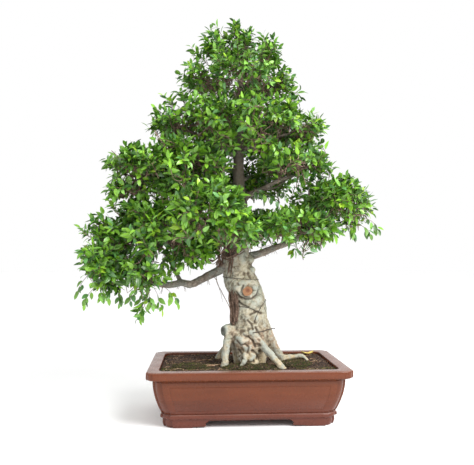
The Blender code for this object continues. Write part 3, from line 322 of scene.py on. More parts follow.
def blend(tree, share, one, other, mode="MIX"):
    """One colour blended with another by a share."""
    mix = tree.nodes.new("ShaderNodeMix")
    mix.data_type = "RGBA"
    mix.blend_type = mode
    put(mix.inputs["Factor"], share)
    put(mix.inputs[6], one)
    put(mix.inputs[7], other)
    return mix.outputs[2]


def sums(tree, operation, one, other=0.0):
    """A sum done on one or two values."""
    node = tree.nodes.new("ShaderNodeMath")
    node.operation = operation
    put(node.inputs[0], one)
    put(node.inputs[1], other)
    return node.outputs[0]


def relief(tree, shader, *layers):
    """Bump layers, each (height, depth in metres, strength), one on another."""
    normal = None
    for height, depth, strength in layers:
        bump = tree.nodes.new("ShaderNodeBump")
        put(bump.inputs["Height"], height)
        bump.inputs["Distance"].default_value = depth
        bump.inputs["Strength"].default_value = strength
        if normal:
            tree.links.new(normal, bump.inputs["Normal"])
        normal = bump.outputs["Normal"]
    tree.links.new(normal, shader.inputs["Normal"])


def height_of(tree, vector):
    """The height part of a place."""
    parts = tree.nodes.new("ShaderNodeSeparateXYZ")
    tree.links.new(vector, parts.inputs[0])
    return parts.outputs["Z"]


clay, tree, shader = new_finish("fired_clay", 0.30)
shader.inputs["Specular IOR Level"].default_value = 0.34
here = place_of(tree)
clay_colour = blend(tree, clouds(tree, here, 5.0, 3.0), (0.108, 0.0250, 0.0078), (0.146, 0.0360, 0.0105))
# The walls turn darker and purpler towards the bottom.
low_down = shades(tree, sums(tree, "DIVIDE", height_of(tree, here), RIM), (0.12, 1.0), (0.62, 0.0))
clay_colour = blend(tree, sums(tree, "MULTIPLY", low_down, 0.55), clay_colour, (0.104, 0.032, 0.027))
speckle = shades(tree, clouds(tree, here, 620.0, 2.0), (0.30, 0.80), (0.46, 1.0), (0.70, 1.10))
clay_colour = blend(tree, 1.0, clay_colour, speckle, "MULTIPLY")
rubbed = shades(tree, clouds(tree, place_of(tree, (1, 1, 7)), 9.0, 5.0), (0.35, 0.92), (0.65, 1.06))
clay_colour = blend(tree, 1.0, clay_colour, rubbed, "MULTIPLY")
facing = tree.nodes.new("ShaderNodeNewGeometry")
split = tree.nodes.new("ShaderNodeSeparateXYZ")
tree.links.new(facing.outputs["Normal"], split.inputs[0])
# Upward faces, the lip's top most, turn a patchy pale pinkish grey: a painted reflection of the bright sky.
flat_on_top = shades(tree, split.outputs["Z"], (0.35, 0.0), (0.92, 1.0))
painted_top_sheen = shades(tree, clouds(tree, here, 22.0, 5.0), (0.30, 0.22), (0.70, 0.62))
clay_colour = blend(tree, sums(tree, "MULTIPLY", flat_on_top, painted_top_sheen), clay_colour, (0.300, 0.190, 0.160))
put(shader.inputs["Base Color"], clay_colour)
put(shader.inputs["Roughness"], shades(tree, clouds(tree, here, 34.0, 5.0), (0.3, 0.20), (0.7, 0.36)))
hand_marks, grain = clouds(tree, here, 26.0, 3.0), clouds(tree, here, 900.0, 2.0)
relief(tree, shader, (hand_marks, 0.0007, 0.25), (grain, 0.00008, 0.4))
pot.data.materials.append(clay)
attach(pot, "root")
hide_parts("pot")


# ------------------------------------------------------------------------- drainage under the soil
# A square of coarse plastic mesh lies over each drain hole, held by a staple of soft wire whose
# ends are bent out under the pot. Over them lies a layer of fired clay grit. All keep their shape.

plastic, tree, shader = new_finish("screen_plastic", 0.5)
here = place_of(tree)
dust = shades(tree, clouds(tree, here, 160.0), (0.4, (0.012, 0.012, 0.013)), (0.75, (0.060, 0.048, 0.038)))
put(shader.inputs["Base Color"], dust)
relief(tree, shader, (clouds(tree, here, 1400.0), 0.0001, 0.4))

wire, tree, shader = new_finish("clip_wire", 0.3, 1.0)
here = place_of(tree)
dulled = shades(tree, clouds(tree, here, 220.0), (0.3, (0.46, 0.45, 0.44)), (0.7, (0.74, 0.73, 0.72)))
put(shader.inputs["Base Color"], dulled)
put(shader.inputs["Roughness"], shades(tree, clouds(tree, here, 500.0), (0.3, 0.25), (0.7, 0.5)))

grit, tree, shader = new_finish("drainage_grit", 0.95)
here = place_of(tree)
lumps = cells(tree, here, 210.0)
baked = shades(tree, clouds(tree, here, 210.0), (0.3, (0.16, 0.10, 0.07)), (0.7, (0.46, 0.34, 0.25)))
put(shader.inputs["Base Color"], baked)
relief(tree, shader, (lumps, 0.002, 0.9), (clouds(tree, here, 900.0), 0.0004, 0.6))

for node, finish in (
    ("drain_screen_left", plastic), ("drain_screen_right", plastic), ("screen_clip_left", wire),
    ("screen_clip_right", wire), ("drainage_layer", grit),
):
    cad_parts[node].data.materials.clear()
    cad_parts[node].data.materials.append(finish)


# ------------------------------------------------------------------------------------------ soil
# Dark crumbly bonsai soil: bark, loam and small fired grains, loosely pressed in by hand. Fine
# pale feeding roots have washed free on top of it, with one long root to the left of the trunk.

chance = random.Random(7)
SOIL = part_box("soil")[1].z
CROWN_DEPTH = 0.011
CROWN = SOIL - CROWN_DEPTH
GRAIN_COUNT = 5200
SHORT_ROOTS = 110
ROOT_STEP = 0.008


def on_tree(x, y, z=0.0):
    """A place by its distance from the middle of the pot and its height over the root crown."""
    return Vector((MIDDLE.x + x, MIDDLE.y + y, CROWN + z))


def finer_copy(name, node, grid, smoothing=0):
    """A copy of a plain grown shape with its skin remade on a fine grid and softened."""
    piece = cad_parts[node].copy()
    piece.data = piece.data.copy()
    piece.data.materials.clear()
    for key in list(piece.keys()):
        del piece[key]
    piece.parent = None
    piece.name = name
    bpy.context.scene.collection.objects.link(piece)
    piece.hide_render = False
    piece.hide_viewport = False
    pick(piece)
    bpy.ops.object.mode_set(mode="EDIT")
    bpy.ops.mesh.select_all(action="SELECT")
    bpy.ops.mesh.remove_doubles(threshold=0.00001)
    bpy.ops.object.mode_set(mode="OBJECT")
    apply_modifier(piece, "remake", "REMESH", mode="VOXEL", voxel_size=grid)
    if smoothing:
        apply_modifier(piece, "soften", "SMOOTH", factor=0.5, iterations=smoothing)
    return piece


def corners(mesh):
    """A mesh's points and their normals, as rows of numbers."""
    places = np.empty(len(mesh.vertices) * 3, np.float32)
    mesh.vertices.foreach_get("co", places)
    normals = np.empty(len(mesh.vertices) * 3, np.float32)
    mesh.vertices.foreach_get("normal", normals)
    return places.reshape(-1, 3).astype(float), normals.reshape(-1, 3).astype(float)


def roughen(piece, *layers):
    """Pushes the skin in and out by cloud textures, each (size of its lumps, depth)."""
    for number, (size, depth) in enumerate(layers):
        texture = bpy.data.textures.new(f"{piece.name}_lumps_{number}", "CLOUDS")
        texture.noise_scale = size
        texture.noise_depth = 2
        apply_modifier(piece, "roughen", "DISPLACE", texture=texture, strength=depth,
                       mid_level=0.5, texture_coords="GLOBAL")


def tint_points(mesh, name, colours):
    """Writes a colour for each point of a mesh."""
    layer = mesh.color_attributes.new(name, "FLOAT_COLOR", "POINT")
    flat = np.concatenate([np.asarray(colours, float), np.ones((len(colours), 1))], axis=1)
    layer.data.foreach_set("color", flat.astype(np.float32).ravel())


def scatter(name, shapes, turns, places, tints, kinds):
    """One mesh out of many copies of small shapes, each turned, scaled, placed and tinted."""
    points, faces, colours, start = [], [], [], 0
    for turn, place, tint, kind in zip(turns, places, tints, kinds):
        shape_points, shape_faces = shapes[kind]
        points.append(shape_points @ np.asarray(turn).T + np.asarray(place))
        faces.extend([tuple(index + start for index in face) for face in shape_faces])
        colours.append(np.tile(tint, (len(shape_points), 1)))
        start += len(shape_points)
    mesh = bpy.data.meshes.new(name)
    mesh.from_pydata(np.concatenate(points).tolist(), [], faces)
    tint_points(mesh, "tint", np.concatenate(colours))
    piece = bpy.data.objects.new(name, mesh)
    bpy.context.scene.collection.objects.link(piece)
    return piece


def taken_apart(piece):
    """A small modelled shape as points and faces, and the shape itself removed."""
    shape = (corners(piece.data)[0], [tuple(face.vertices) for face in piece.data.polygons])
    bpy.data.objects.remove(piece)
    return shape


def any_turn(size, source=chance):
    """A random turn times a size."""
    axis = Vector([source.gauss(0, 1) for _ in range(3)]).normalized()
    turn = np.array(Matrix.Rotation(source.uniform(0, 2 * math.pi), 3, axis))
    return turn * np.asarray(size)


soil = finer_copy("crumbly_soil", "soil", 0.0038)
roughen(soil, (0.030, 0.004), (0.008, 0.0035), (0.004, 0.0018))
pick(soil)
bpy.ops.object.shade_smooth()

earth, tree, shader = new_finish("soil", 1.0)
here = place_of(tree)
crumbs = clouds(tree, here, 300.0, 6.0, 0.7)
colour = shades(
    tree, crumbs, (0.34, (0.012, 0.007, 0.005)), (0.52, (0.050, 0.026, 0.016)), (0.72, (0.110, 0.062, 0.036)))
damp = shades(tree, clouds(tree, here, 22.0), (0.40, 0.70), (0.62, 1.15))
put(shader.inputs["Base Color"], blend(tree, 1.0, colour, damp, "MULTIPLY"))
relief(tree, shader, (crumbs, 0.0016, 0.9), (cells(tree, here, 420.0), 0.0008, 0.6))
soil.data.materials.append(earth)
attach(soil, "root")
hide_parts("soil")

grain_shapes = []
for number in range(3):
    bpy.ops.object.select_all(action="DESELECT")
    bpy.ops.mesh.primitive_ico_sphere_add(subdivisions=1, radius=1.0)
    grain = bpy.context.object
    for vertex in grain.data.vertices:
        vertex.co *= chance.uniform(0.72, 1.15)
    grain_shapes.append(taken_apart(grain))

soil_skin = BVHTree.FromObject(soil, bpy.context.evaluated_depsgraph_get())
INNER_X = HALF_WIDTH - LIP_WIDTH - 0.003
INNER_Y = HALF_DEPTH - LIP_WIDTH - 0.003


def soil_at(x, y):
    """The soil's surface under a place, or None where the trunk's hole is."""
    hit = soil_skin.ray_cast(on_tree(x, y, 0.06), Vector((0, 0, -1)), 0.09)[0]
    return hit if hit is not None and hit.z > SOIL - 0.018 else None


GRAIN_TINTS = [(0.045, 0.024, 0.015), (0.020, 0.012, 0.009), (0.110, 0.055, 0.032), (0.170, 0.100, 0.058),
               (0.070, 0.038, 0.022), (0.250, 0.165, 0.100)]
turns, places, tints, kinds = [], [], [], []
for _ in range(GRAIN_COUNT):
    x, y = chance.uniform(-INNER_X, INNER_X), chance.uniform(-INNER_Y, INNER_Y)
    place = soil_at(x, y)
    if place is None:
        continue
    size = 0.0008 + 0.0024 * chance.random() ** 2.2
    turns.append(any_turn((size, size * chance.uniform(0.6, 1), size * chance.uniform(0.5, 0.9))))
    places.append(place + Vector((0, 0, size * 0.3)))
    shade = chance.uniform(0.7, 1.25)
    tints.append([part * shade for part in chance.choices(GRAIN_TINTS, (5, 4, 3, 2, 4, 1))[0]])
    kinds.append(chance.randrange(3))
grains = scatter("soil_grains", grain_shapes, turns, places, tints, kinds)


def tinted_finish(name, roughness, size, depth):
    """A finish whose colour is written on the mesh, broken up by fine clouds."""
    material, tree, shader = new_finish(name, roughness)
    here = place_of(tree)
    tint = tree.nodes.new("ShaderNodeAttribute")
    tint.attribute_name = "tint"
    fine = clouds(tree, here, size, 4.0, 0.65)
    mottle = shades(tree, fine, (0.30, 0.62), (0.50, 1.0), (0.72, 1.35))
    put(shader.inputs["Base Color"], blend(tree, 1.0, tint.outputs["Color"], mottle, "MULTIPLY"))
    relief(tree, shader, (fine, depth, 0.7))
    return material


grains.data.materials.append(tinted_finish("soil_grain", 0.95, 700.0, 0.0004))
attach(grains, "root")


def strands(name, lines, sides=4):
    """Thin round strands, each a line of (x, y, z, radius), made as curves and turned into a mesh."""
    curve = bpy.data.curves.new(name, "CURVE")
    curve.dimensions = "3D"
    curve.bevel_depth = 1.0
    curve.bevel_resolution = sides // 2 - 2
    curve.use_fill_caps = True
    for line in lines:
        spline = curve.splines.new("POLY")
        spline.points.add(len(line) - 1)
        for point, (x, y, z, radius) in zip(spline.points, line):
            point.co = (x, y, z, 1)
            point.radius = radius
    piece = bpy.data.objects.new(name, curve)
    bpy.context.scene.collection.objects.link(piece)
    pick(piece)
    bpy.ops.object.convert(target="MESH")
    bpy.ops.object.mode_set(mode="EDIT")
    bpy.ops.mesh.select_all(action="SELECT")
    bpy.ops.mesh.remove_doubles(threshold=0.00001)
    bpy.ops.mesh.normals_make_consistent(inside=False)
    bpy.ops.object.mode_set(mode="OBJECT")
    bpy.ops.object.shade_smooth_by_angle(angle=math.radians(60))
    return piece


def through(points, count):
    """A smooth line through chosen points, each a row of numbers, read at even steps."""
    rows = np.array([list(point) for point in points], float)
    padded = np.vstack([2 * rows[0] - rows[1], rows, 2 * rows[-1] - rows[-2]])
    found = []
    for share in np.linspace(0, len(rows) - 1 - 1e-9, count):
        index = int(share)
        t = share - index
        a, b, c, d = padded[index:index + 4]
        found.append(0.5 * (2 * b + (c - a) * t + (2 * a - 5 * b + 4 * c - d) * t ** 2
                            + (3 * b - a - 3 * c + d) * t ** 3))
    return found


root_lines = []
for _ in range(SHORT_ROOTS):
    x, y = chance.uniform(-INNER_X, INNER_X * 0.95), chance.uniform(-INNER_Y, INNER_Y)
    heading, thickness = chance.uniform(0, 2 * math.pi), chance.uniform(0.0003, 0.0008)
    line = []
    for step in range(chance.randrange(5, 11)):
        ground = soil_at(x, y)
        if ground is None or abs(x) > INNER_X or abs(y) > INNER_Y:
            break
        line.append((*(ground + Vector((0, 0, chance.uniform(0.0001, 0.0016)))), thickness))
        heading += chance.gauss(0, 0.5)
        x += ROOT_STEP * math.cos(heading)
        y += ROOT_STEP * math.sin(heading)
    if len(line) > 3:
        root_lines.append(line)
long_roots = [
    [(-0.190, -0.098, 0.0011), (-0.158, -0.088, 0.0016), (-0.128, -0.074, 0.0019), (-0.098, -0.066, 0.0022),
     (-0.074, -0.056, 0.0026)],
    [(-0.150, -0.040, 0.0009), (-0.118, -0.048, 0.0012), (-0.088, -0.052, 0.0015), (-0.070, -0.060, 0.0018)],
    [(-0.200, 0.010, 0.0008), (-0.150, 0.022, 0.0012), (-0.110, 0.030, 0.0016)],
    [(0.165, 0.060, 0.0008), (0.196, 0.020, 0.0011), (0.214, -0.030, 0.0009)],
]
for route in long_roots:
    line = []
    for x, y, radius in through(route, 18):
        ground = soil_at(x, y)
        if ground is not None:
            line.append((*(ground + Vector((0, 0, radius * 0.9))), radius))
    root_lines.append(line)
feeders = strands("feeding_roots", root_lines)
root_skin, tree, shader = new_finish("pale_root", 0.8)
here = place_of(tree)
put(shader.inputs["Base Color"], shades(
    tree, clouds(tree, here, 90.0, 4.0),
    (0.32, (0.13, 0.065, 0.035)), (0.50, (0.34, 0.20, 0.11)), (0.70, (0.58, 0.43, 0.28))))
relief(tree, shader, (clouds(tree, here, 700.0), 0.0003, 0.7))
feeders.data.materials.append(root_skin)
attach(feeders, "root")


# ------------------------------------------------------------------------------------------ moss
# Cushion moss laid on the damp soil: a low mound of packed stems with short shoots standing up,
# dark and olive in the middle, bright green where it grows. Loose tufts creep along the walls.

shoot_shapes = []
for lean in (0.0, 0.35, -0.3):
    bpy.ops.object.select_all(action="DESELECT")
    bpy.ops.mesh.primitive_cone_add(vertices=4, radius1=0.30, radius2=0.0, depth=1.0, location=(0, 0, 0.5))
    shoot = bpy.context.object
    bpy.ops.object.transform_apply(location=True)
    for vertex in shoot.data.vertices:
        vertex.co.x += lean * max(vertex.co.z, 0) ** 2
    shoot_shapes.append(taken_apart(shoot))

MOSS_TINTS = [(0.034, 0.048, 0.008), (0.062, 0.080, 0.012), (0.120, 0.140, 0.022), (0.050, 0.040, 0.014),
              (0.090, 0.068, 0.026), (0.200, 0.220, 0.050)]
moss_finish = tinted_finish("moss", 1.0, 900.0, 0.0006)
mound_finish, tree, shader = new_finish("moss_mound", 1.0)
here = place_of(tree)
tufts = clouds(tree, here, 420.0, 6.0, 0.7)
put(shader.inputs["Base Color"], shades(
    tree, tufts, (0.34, (0.014, 0.013, 0.005)), (0.54, (0.040, 0.040, 0.010)), (0.74, (0.100, 0.100, 0.022))))
relief(tree, shader, (tufts, 0.002, 1.0))


def shoots_on(name, spots):
    """Moss shoots standing on spots, each (place, normal)."""
    turns, places, tints, kinds = [], [], [], []
    for place, normal in spots:
        tall, wide = chance.uniform(0.0022, 0.0055), chance.uniform(0.0014, 0.0026)
        lean = (Vector(normal) + Vector([chance.gauss(0, 0.35) for _ in range(3)])).normalized()
        turn = lean.to_track_quat("Z", "X").to_matrix() @ Matrix.Rotation(chance.uniform(0, 6.28), 3, "Z")
        turns.append(np.array(turn) * np.array((wide, wide, tall)))
        places.append(Vector(place) - lean * 0.0006)
        shade = chance.uniform(0.65, 1.3)
        tints.append([part * shade for part in chance.choices(MOSS_TINTS, (4, 5, 3, 3, 2, 1))[0]])
        kinds.append(chance.randrange(3))
    piece = scatter(name, shoot_shapes, turns, places, tints, kinds)
    piece.data.materials.append(moss_finish)
    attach(piece, "root")
    return piece


for node, count in (("moss_left", 1500), ("moss_front", 3000), ("moss_right", 1900)):
    mound = finer_copy(node.replace("moss", "moss_mound"), node, 0.0018)
    roughen(mound, (0.012, 0.0030), (0.004, 0.0016))
    pick(mound)
    bpy.ops.object.shade_smooth()
    mound.data.materials.append(mound_finish)
    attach(mound, "root")
    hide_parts(node)
    places, normals = corners(mound.data)
    upper = [index for index in range(len(places)) if normals[index][2] > 0.25]
    bare = [places[chance.choice(upper)] for _ in range(count // 110)]
    chosen = [chance.choice(upper) for _ in range(count)]
    chosen = [k for k in chosen if min(np.linalg.norm(places[k] - spot) for spot in bare) > 0.007]
    shoots_on(node.replace("moss", "moss_shoots"), [(places[index], normals[index]) for index in chosen])
    turns, crumb_places, tints, kinds = [], [], [], []
    for _ in range(count // 3):
        size = 0.0008 + 0.0020 * chance.random() ** 2
        turns.append(any_turn((size, size * 0.8, size * 0.7)))
        crumb_places.append(places[chance.choice(upper)] + np.array((0, 0, 0.0008)))
        shade = chance.uniform(0.7, 1.25)
        tints.append([part * shade for part in chance.choices(GRAIN_TINTS, (5, 4, 3, 2, 4, 1))[0]])
        kinds.append(chance.randrange(3))
    crumbs = scatter(node.replace("moss", "moss_crumbs"), grain_shapes, turns, crumb_places, tints, kinds)
    crumbs.data.materials.append(grains.data.materials[0])
    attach(crumbs, "root")

spots = []
tuft_middles = [(chance.uniform(-INNER_X, -0.06), chance.uniform(-INNER_Y, -0.02)) for _ in range(34)]
tuft_middles += [
    (chance.uniform(-0.06, INNER_X), chance.uniform(-INNER_Y, -INNER_Y + 0.05)) for _ in range(30)]
tuft_middles += [(chance.uniform(-INNER_X, INNER_X), chance.uniform(-INNER_Y, INNER_Y)) for _ in range(26)]
for centre_x, centre_y in tuft_middles:
    reach = chance.uniform(0.006, 0.016)
    for _ in range(chance.randrange(24, 60)):
        x, y = chance.gauss(centre_x, reach), chance.gauss(centre_y, reach)
        ground = soil_at(x, y) if abs(x) < INNER_X and abs(y) < INNER_Y else None
        if ground is not None:
            spots.append((ground, (0, 0, 1)))
shoots_on("moss_tufts", spots)


# ------------------------------------------------------------------------------- trunk and roots
# The trunk grew with its surface roots, burl and cut stub as one piece of pale, smooth fig wood.
# Its bark is beige with grey-green patches, wrinkled across at the bends, cracked under the old
# pruning scar, and yellowish on the roots. The scar's sawn face shows orange-brown rings.

SHOULDER_LOW, SHOULDER_HIGH, SHOULDER_OUT = 0.205, 0.400, 0.015
CRACK_WIDTH, CRACK_DEPTH = 0.0030, 0.0030
WRINKLE_DEPTH = 0.00018
trunk = finer_copy("trunk_and_roots", "trunk", 0.0023, 4)
roughen(trunk, (0.050, 0.0056), (0.017, 0.0046), (0.007, 0.0018))

CRACKS = [
    [(-0.034, 0.236), (-0.024, 0.222), (-0.006, 0.214), (0.014, 0.216), (0.030, 0.228), (0.036, 0.244)],
    [(-0.040, 0.226), (-0.030, 0.208), (-0.012, 0.196), (0.004, 0.190)],
    [(-0.046, 0.182), (-0.038, 0.160), (-0.044, 0.138)],
    [(0.024, 0.128), (0.032, 0.116), (0.036, 0.106)],
    [(-0.012, 0.104), (0.004, 0.098), (0.016, 0.086), (0.022, 0.070)],
    [(-0.032, 0.088), (-0.020, 0.078), (-0.008, 0.080), (0.002, 0.070), (-0.002, 0.054)],
    [(-0.028, 0.060), (-0.016, 0.050), (-0.014, 0.034)],
    [(0.012, 0.060), (0.024, 0.052), (0.030, 0.038)],
    [(0.010, 0.168), (0.030, 0.176), (0.044, 0.170)],
    [(0.000, 0.150), (0.012, 0.138), (0.016, 0.122)],
    [(-0.012, 0.256), (-0.018, 0.243), (-0.016, 0.230), (-0.006, 0.221), (0.006, 0.220)],
]
KNOBS = [(-0.018, 0.088, 0.010, 0.005), (0.004, 0.110, 0.012, 0.005), (-0.006, 0.066, 0.012, 0.006),
         (0.016, 0.044, 0.010, 0.005), (-0.030, 0.104, 0.010, 0.004), (0.020, 0.092, 0.009, 0.005),
         (-0.010, 0.184, 0.012, 0.004), (0.026, 0.268, 0.012, 0.005), (0.024, 0.306, 0.009, 0.005),
         (0.018, 0.336, 0.008, 0.004), (-0.010, 0.330, 0.010, 0.003), (0.036, 0.212, 0.012, 0.004)]


def hollows(mesh, rounds):
    """How far each point lies under the softened skin round it: above zero in a hollow."""
    places, normals = corners(mesh)
    pairs = np.empty(len(mesh.edges) * 2, np.int32)
    mesh.edges.foreach_get("vertices", pairs)
    ends = np.concatenate([pairs[0::2], pairs[1::2]])
    others = np.concatenate([pairs[1::2], pairs[0::2]])
    links = np.bincount(ends, minlength=len(places))[:, None]
    soft = places.copy()
    for _ in range(rounds):
        around = np.stack([np.bincount(ends, soft[others, k], len(places)) for k in range(3)], axis=1)
        soft = 0.4 * soft + 0.6 * around / links
    return ((soft - places) * normals).sum(axis=1)


def reach_of_lines(flat, lines):
    """The distance from each place, seen from the front, to the nearest of these lines."""
    nearest = np.full(len(flat), 1.0)
    for line in lines:
        for start, end in zip(line, line[1:]):
            start, end = np.array(start), np.array(end)
            run = end - start
            share = np.clip(((flat - start) @ run) / (run @ run), 0, 1)
            nearest = np.minimum(nearest, np.linalg.norm(flat - start - share[:, None] * run, axis=1))
    return nearest


places, normals = corners(trunk.data)
flat = places[:, [0, 2]] - np.array([MIDDLE.x, CROWN])
shoulder = np.clip((flat[:, 1] - SHOULDER_LOW) / 0.045, 0, 1)
shoulder *= np.clip((SHOULDER_HIGH - flat[:, 1]) / 0.050, 0, 1)
places[:, 0] -= SHOULDER_OUT * shoulder * np.clip(-normals[:, 0] * 1.2, 0, 1)
flat = places[:, [0, 2]] - np.array([MIDDLE.x, CROWN])
facing = np.clip(-normals[:, 1] * 1.6, 0, 1)
crack = np.exp(-(reach_of_lines(flat, CRACKS) / CRACK_WIDTH) ** 2) * facing
push = -CRACK_DEPTH * crack
knob_chance = random.Random(3)
for _ in range(54):
    KNOBS.append((knob_chance.uniform(-0.038, 0.036), knob_chance.uniform(0.026, 0.122),
                  knob_chance.uniform(0.004, 0.009), knob_chance.choice((-0.0042, -0.003, 0.003, 0.0042))))
for _ in range(26):
    KNOBS.append((knob_chance.uniform(-0.050, 0.040), knob_chance.uniform(0.130, 0.340),
                  knob_chance.uniform(0.005, 0.011), knob_chance.choice((-0.0028, -0.002, 0.002, 0.0028))))
for x, z, width, rise in KNOBS:
    push += rise * np.exp(-(np.linalg.norm(flat - np.array([x, z]), axis=1) / width) ** 2) * facing
trunk.data.vertices.foreach_set("co", (places + normals * push[:, None]).astype(np.float32).ravel())
upper = np.clip((flat[:, 1] - 0.41) / 0.10, 0, 1) * 0.8
fine_hollow = np.clip(hollows(trunk.data, 10) / 0.00080, -1, 1)
broad_hollow = np.clip(hollows(trunk.data, 70) / 0.0034, -1, 1)
places = places + normals * push[:, None]
wrinkle = np.sin(flat[:, 1] * 620 + 3.0 * np.sin(flat[:, 0] * 60) + places[:, 1] * 40)
wrinkle *= WRINKLE_DEPTH * np.clip((0.35 - flat[:, 1]) * 8, 0, 1)
trunk.data.vertices.foreach_set("co", (places + normals * wrinkle[:, None]).astype(np.float32).ravel())
# Faces turned to the left, away from the key lamp, are marked to be darkened: painted shade.
shaded = np.clip(-normals[:, 0] * 1.1 - 0.15, 0, 1) * np.clip(flat[:, 1] / 0.06, 0.3, 1)
# Cracks and fine hollows are marked to be darkened: painted shade.
painted_crevice_shade = np.maximum(crack, np.clip(fine_hollow, 0, 1) * 0.7)
tint_points(trunk.data, "crevice_shade_and_tints", np.stack([painted_crevice_shade, np.clip(-broad_hollow, 0, 1), upper], axis=1))
# Painted shade in broad hollows and on the left side, and a painted highlight on fine ridges, kept on the
# mesh.
painted_shade_and_highlight = np.stack([np.clip(broad_hollow, 0, 1), shaded, np.clip(-fine_hollow, 0, 1)], axis=1)
tint_points(trunk.data, "painted_shade_and_highlight", painted_shade_and_highlight)
pick(trunk)
bpy.ops.object.shade_smooth()


def bark_finish(name, pale, middle, dark, patch, crevice_shade_colour, low_tint=None):
    """Fig bark: mottled, with patches, fine cracks and cross wrinkles."""
    material, tree, shader = new_finish(name, 0.78)
    here = place_of(tree)
    mottle = clouds(tree, here, 34.0, 8.0, 0.62, 0.6)
    colour = shades(tree, mottle, (0.30, dark), (0.46, middle), (0.62, pale))
    patches = shades(tree, clouds(tree, here, 15.0, 5.0, 0.6, 1.2), (0.50, 0.0), (0.60, 0.75))
    colour = blend(tree, patches, colour, patch)
    flecks = shades(tree, clouds(tree, here, 260.0, 4.0, 0.7), (0.32, 0.45), (0.45, 1.0), (0.75, 1.18))
    colour = blend(tree, 1.0, colour, flecks, "MULTIPLY")
    height = sums(tree, "SUBTRACT", height_of(tree, here), CROWN)
    if low_tint:
        low = shades(tree, sums(tree, "MULTIPLY", height, 10.0), (0.15, 0.75), (0.75, 0.0))
        colour = blend(tree, low, colour, low_tint)
        burl_band = shades(
            tree, sums(tree, "MULTIPLY", height, 6.0), (0.22, 0.0), (0.42, 0.65), (0.60, 0.5), (0.80, 0.0))
        pink = shades(tree, clouds(tree, here, 28.0, 4.0), (0.42, 0.0), (0.60, 0.9))
        colour = blend(tree, sums(tree, "MULTIPLY", burl_band, pink), colour, (0.50, 0.30, 0.19))
    lines = cells(tree, place_of(tree, (1, 1, 2.6)), 70.0, "DISTANCE_TO_EDGE")
    broken = shades(tree, clouds(tree, here, 30.0), (0.46, 1.0), (0.58, 0.0))
    creases = sums(tree, "MAXIMUM", shades(tree, lines, (0.0, 0.25), (0.10, 1.0)), broken)
    colour = blend(tree, 1.0, colour, blend(tree, creases, (0.42, 0.36, 0.32), (1.0, 1.0, 1.0)), "MULTIPLY")
    painted_shade_and_highlight = tree.nodes.new("ShaderNodeAttribute")
    painted_shade_and_highlight.attribute_name = "painted_shade_and_highlight"
    parts = tree.nodes.new("ShaderNodeSeparateColor")
    tree.links.new(painted_shade_and_highlight.outputs["Color"], parts.inputs[0])
    # Painted shade: broad hollows turn brown.
    colour = blend(tree, sums(tree, "MULTIPLY", parts.outputs[0], 0.88), colour, (0.140, 0.088, 0.048))
    # Painted shade: the left side turns dark grey-brown.
    colour = blend(tree, sums(tree, "MULTIPLY", parts.outputs[1], 0.62), colour, (0.090, 0.076, 0.058))
    # Painted highlight: fine ridges turn pale.
    colour = blend(tree, sums(tree, "MULTIPLY", parts.outputs[2], 0.45), colour, (0.58, 0.54, 0.43))
    crevice_shade_and_tints = tree.nodes.new("ShaderNodeAttribute")
    crevice_shade_and_tints.attribute_name = "crevice_shade_and_tints"
    parts = tree.nodes.new("ShaderNodeSeparateColor")
    tree.links.new(crevice_shade_and_tints.outputs["Color"], parts.inputs[0])
    mossy = shades(tree, clouds(tree, here, 42.0, 4.0), (0.40, 0.0), (0.56, 0.75))
    colour = blend(tree, sums(tree, "MULTIPLY", parts.outputs[1], mossy), colour, (0.330, 0.370, 0.330))
    # Painted shade: cracks and fine hollows darken almost to black.
    colour = blend(tree, sums(tree, "MULTIPLY", parts.outputs[0], 0.88), colour, crevice_shade_colour)
    colour = blend(tree, sums(tree, "MULTIPLY", parts.outputs[2], 1.0), colour, (0.085, 0.060, 0.042))
    put(shader.inputs["Base Color"], colour)
    put(shader.inputs["Roughness"], shades(tree, mottle, (0.3, 0.88), (0.7, 0.66)))
    pores = clouds(tree, here, 520.0, 3.0)
    relief(tree, shader, (mottle, 0.0040, 0.7), (creases, 0.0012, 0.7), (pores, 0.0004, 0.6))
    return material


trunk.data.materials.append(bark_finish(
    "bark", (0.45, 0.405, 0.290), (0.30, 0.255, 0.168), (0.115, 0.088, 0.056), (0.19, 0.215, 0.168),
    (0.036, 0.027, 0.018), low_tint=(0.64, 0.49, 0.27)))
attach(trunk, "root")
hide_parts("trunk")
trunk_skin = BVHTree.FromObject(trunk, bpy.context.evaluated_depsgraph_get())


def wood_face(name, centre, normal, radius, thickness, rings):
    """A sawn face: a disc whose rim is turned and whose rings stand a little proud."""
    bpy.ops.object.select_all(action="DESELECT")
    bpy.ops.mesh.primitive_circle_add(vertices=48, radius=radius, fill_type="NGON")
    face = bpy.context.object
    face.name = name
    bpy.ops.object.mode_set(mode="EDIT")
    bpy.ops.mesh.extrude_region_move(TRANSFORM_OT_translate={"value": (0, 0, thickness)})
    for index in range(rings):
        bpy.ops.mesh.inset(thickness=radius * 0.88 / rings, depth=0.0004 if index % 2 else -0.0003)
    bpy.ops.mesh.select_all(action="SELECT")
    bpy.ops.mesh.normals_make_consistent(inside=False)
    bpy.ops.object.mode_set(mode="OBJECT")
    for vertex in face.data.vertices:
        angle = math.atan2(vertex.co.y, vertex.co.x)
        wobble = 1 + 0.05 * math.sin(2 * angle + 0.6) + 0.03 * math.sin(5 * angle)
        vertex.co.x *= wobble
        vertex.co.y *= wobble
    turn = Vector(normal).normalized().to_track_quat("Z", "Y").to_matrix().to_4x4()
    face.data.transform(Matrix.Translation(on_tree(*centre)) @ turn)
    pick(face)
    bpy.ops.object.shade_smooth_by_angle(angle=math.radians(40))
    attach(face, "root")
    return face


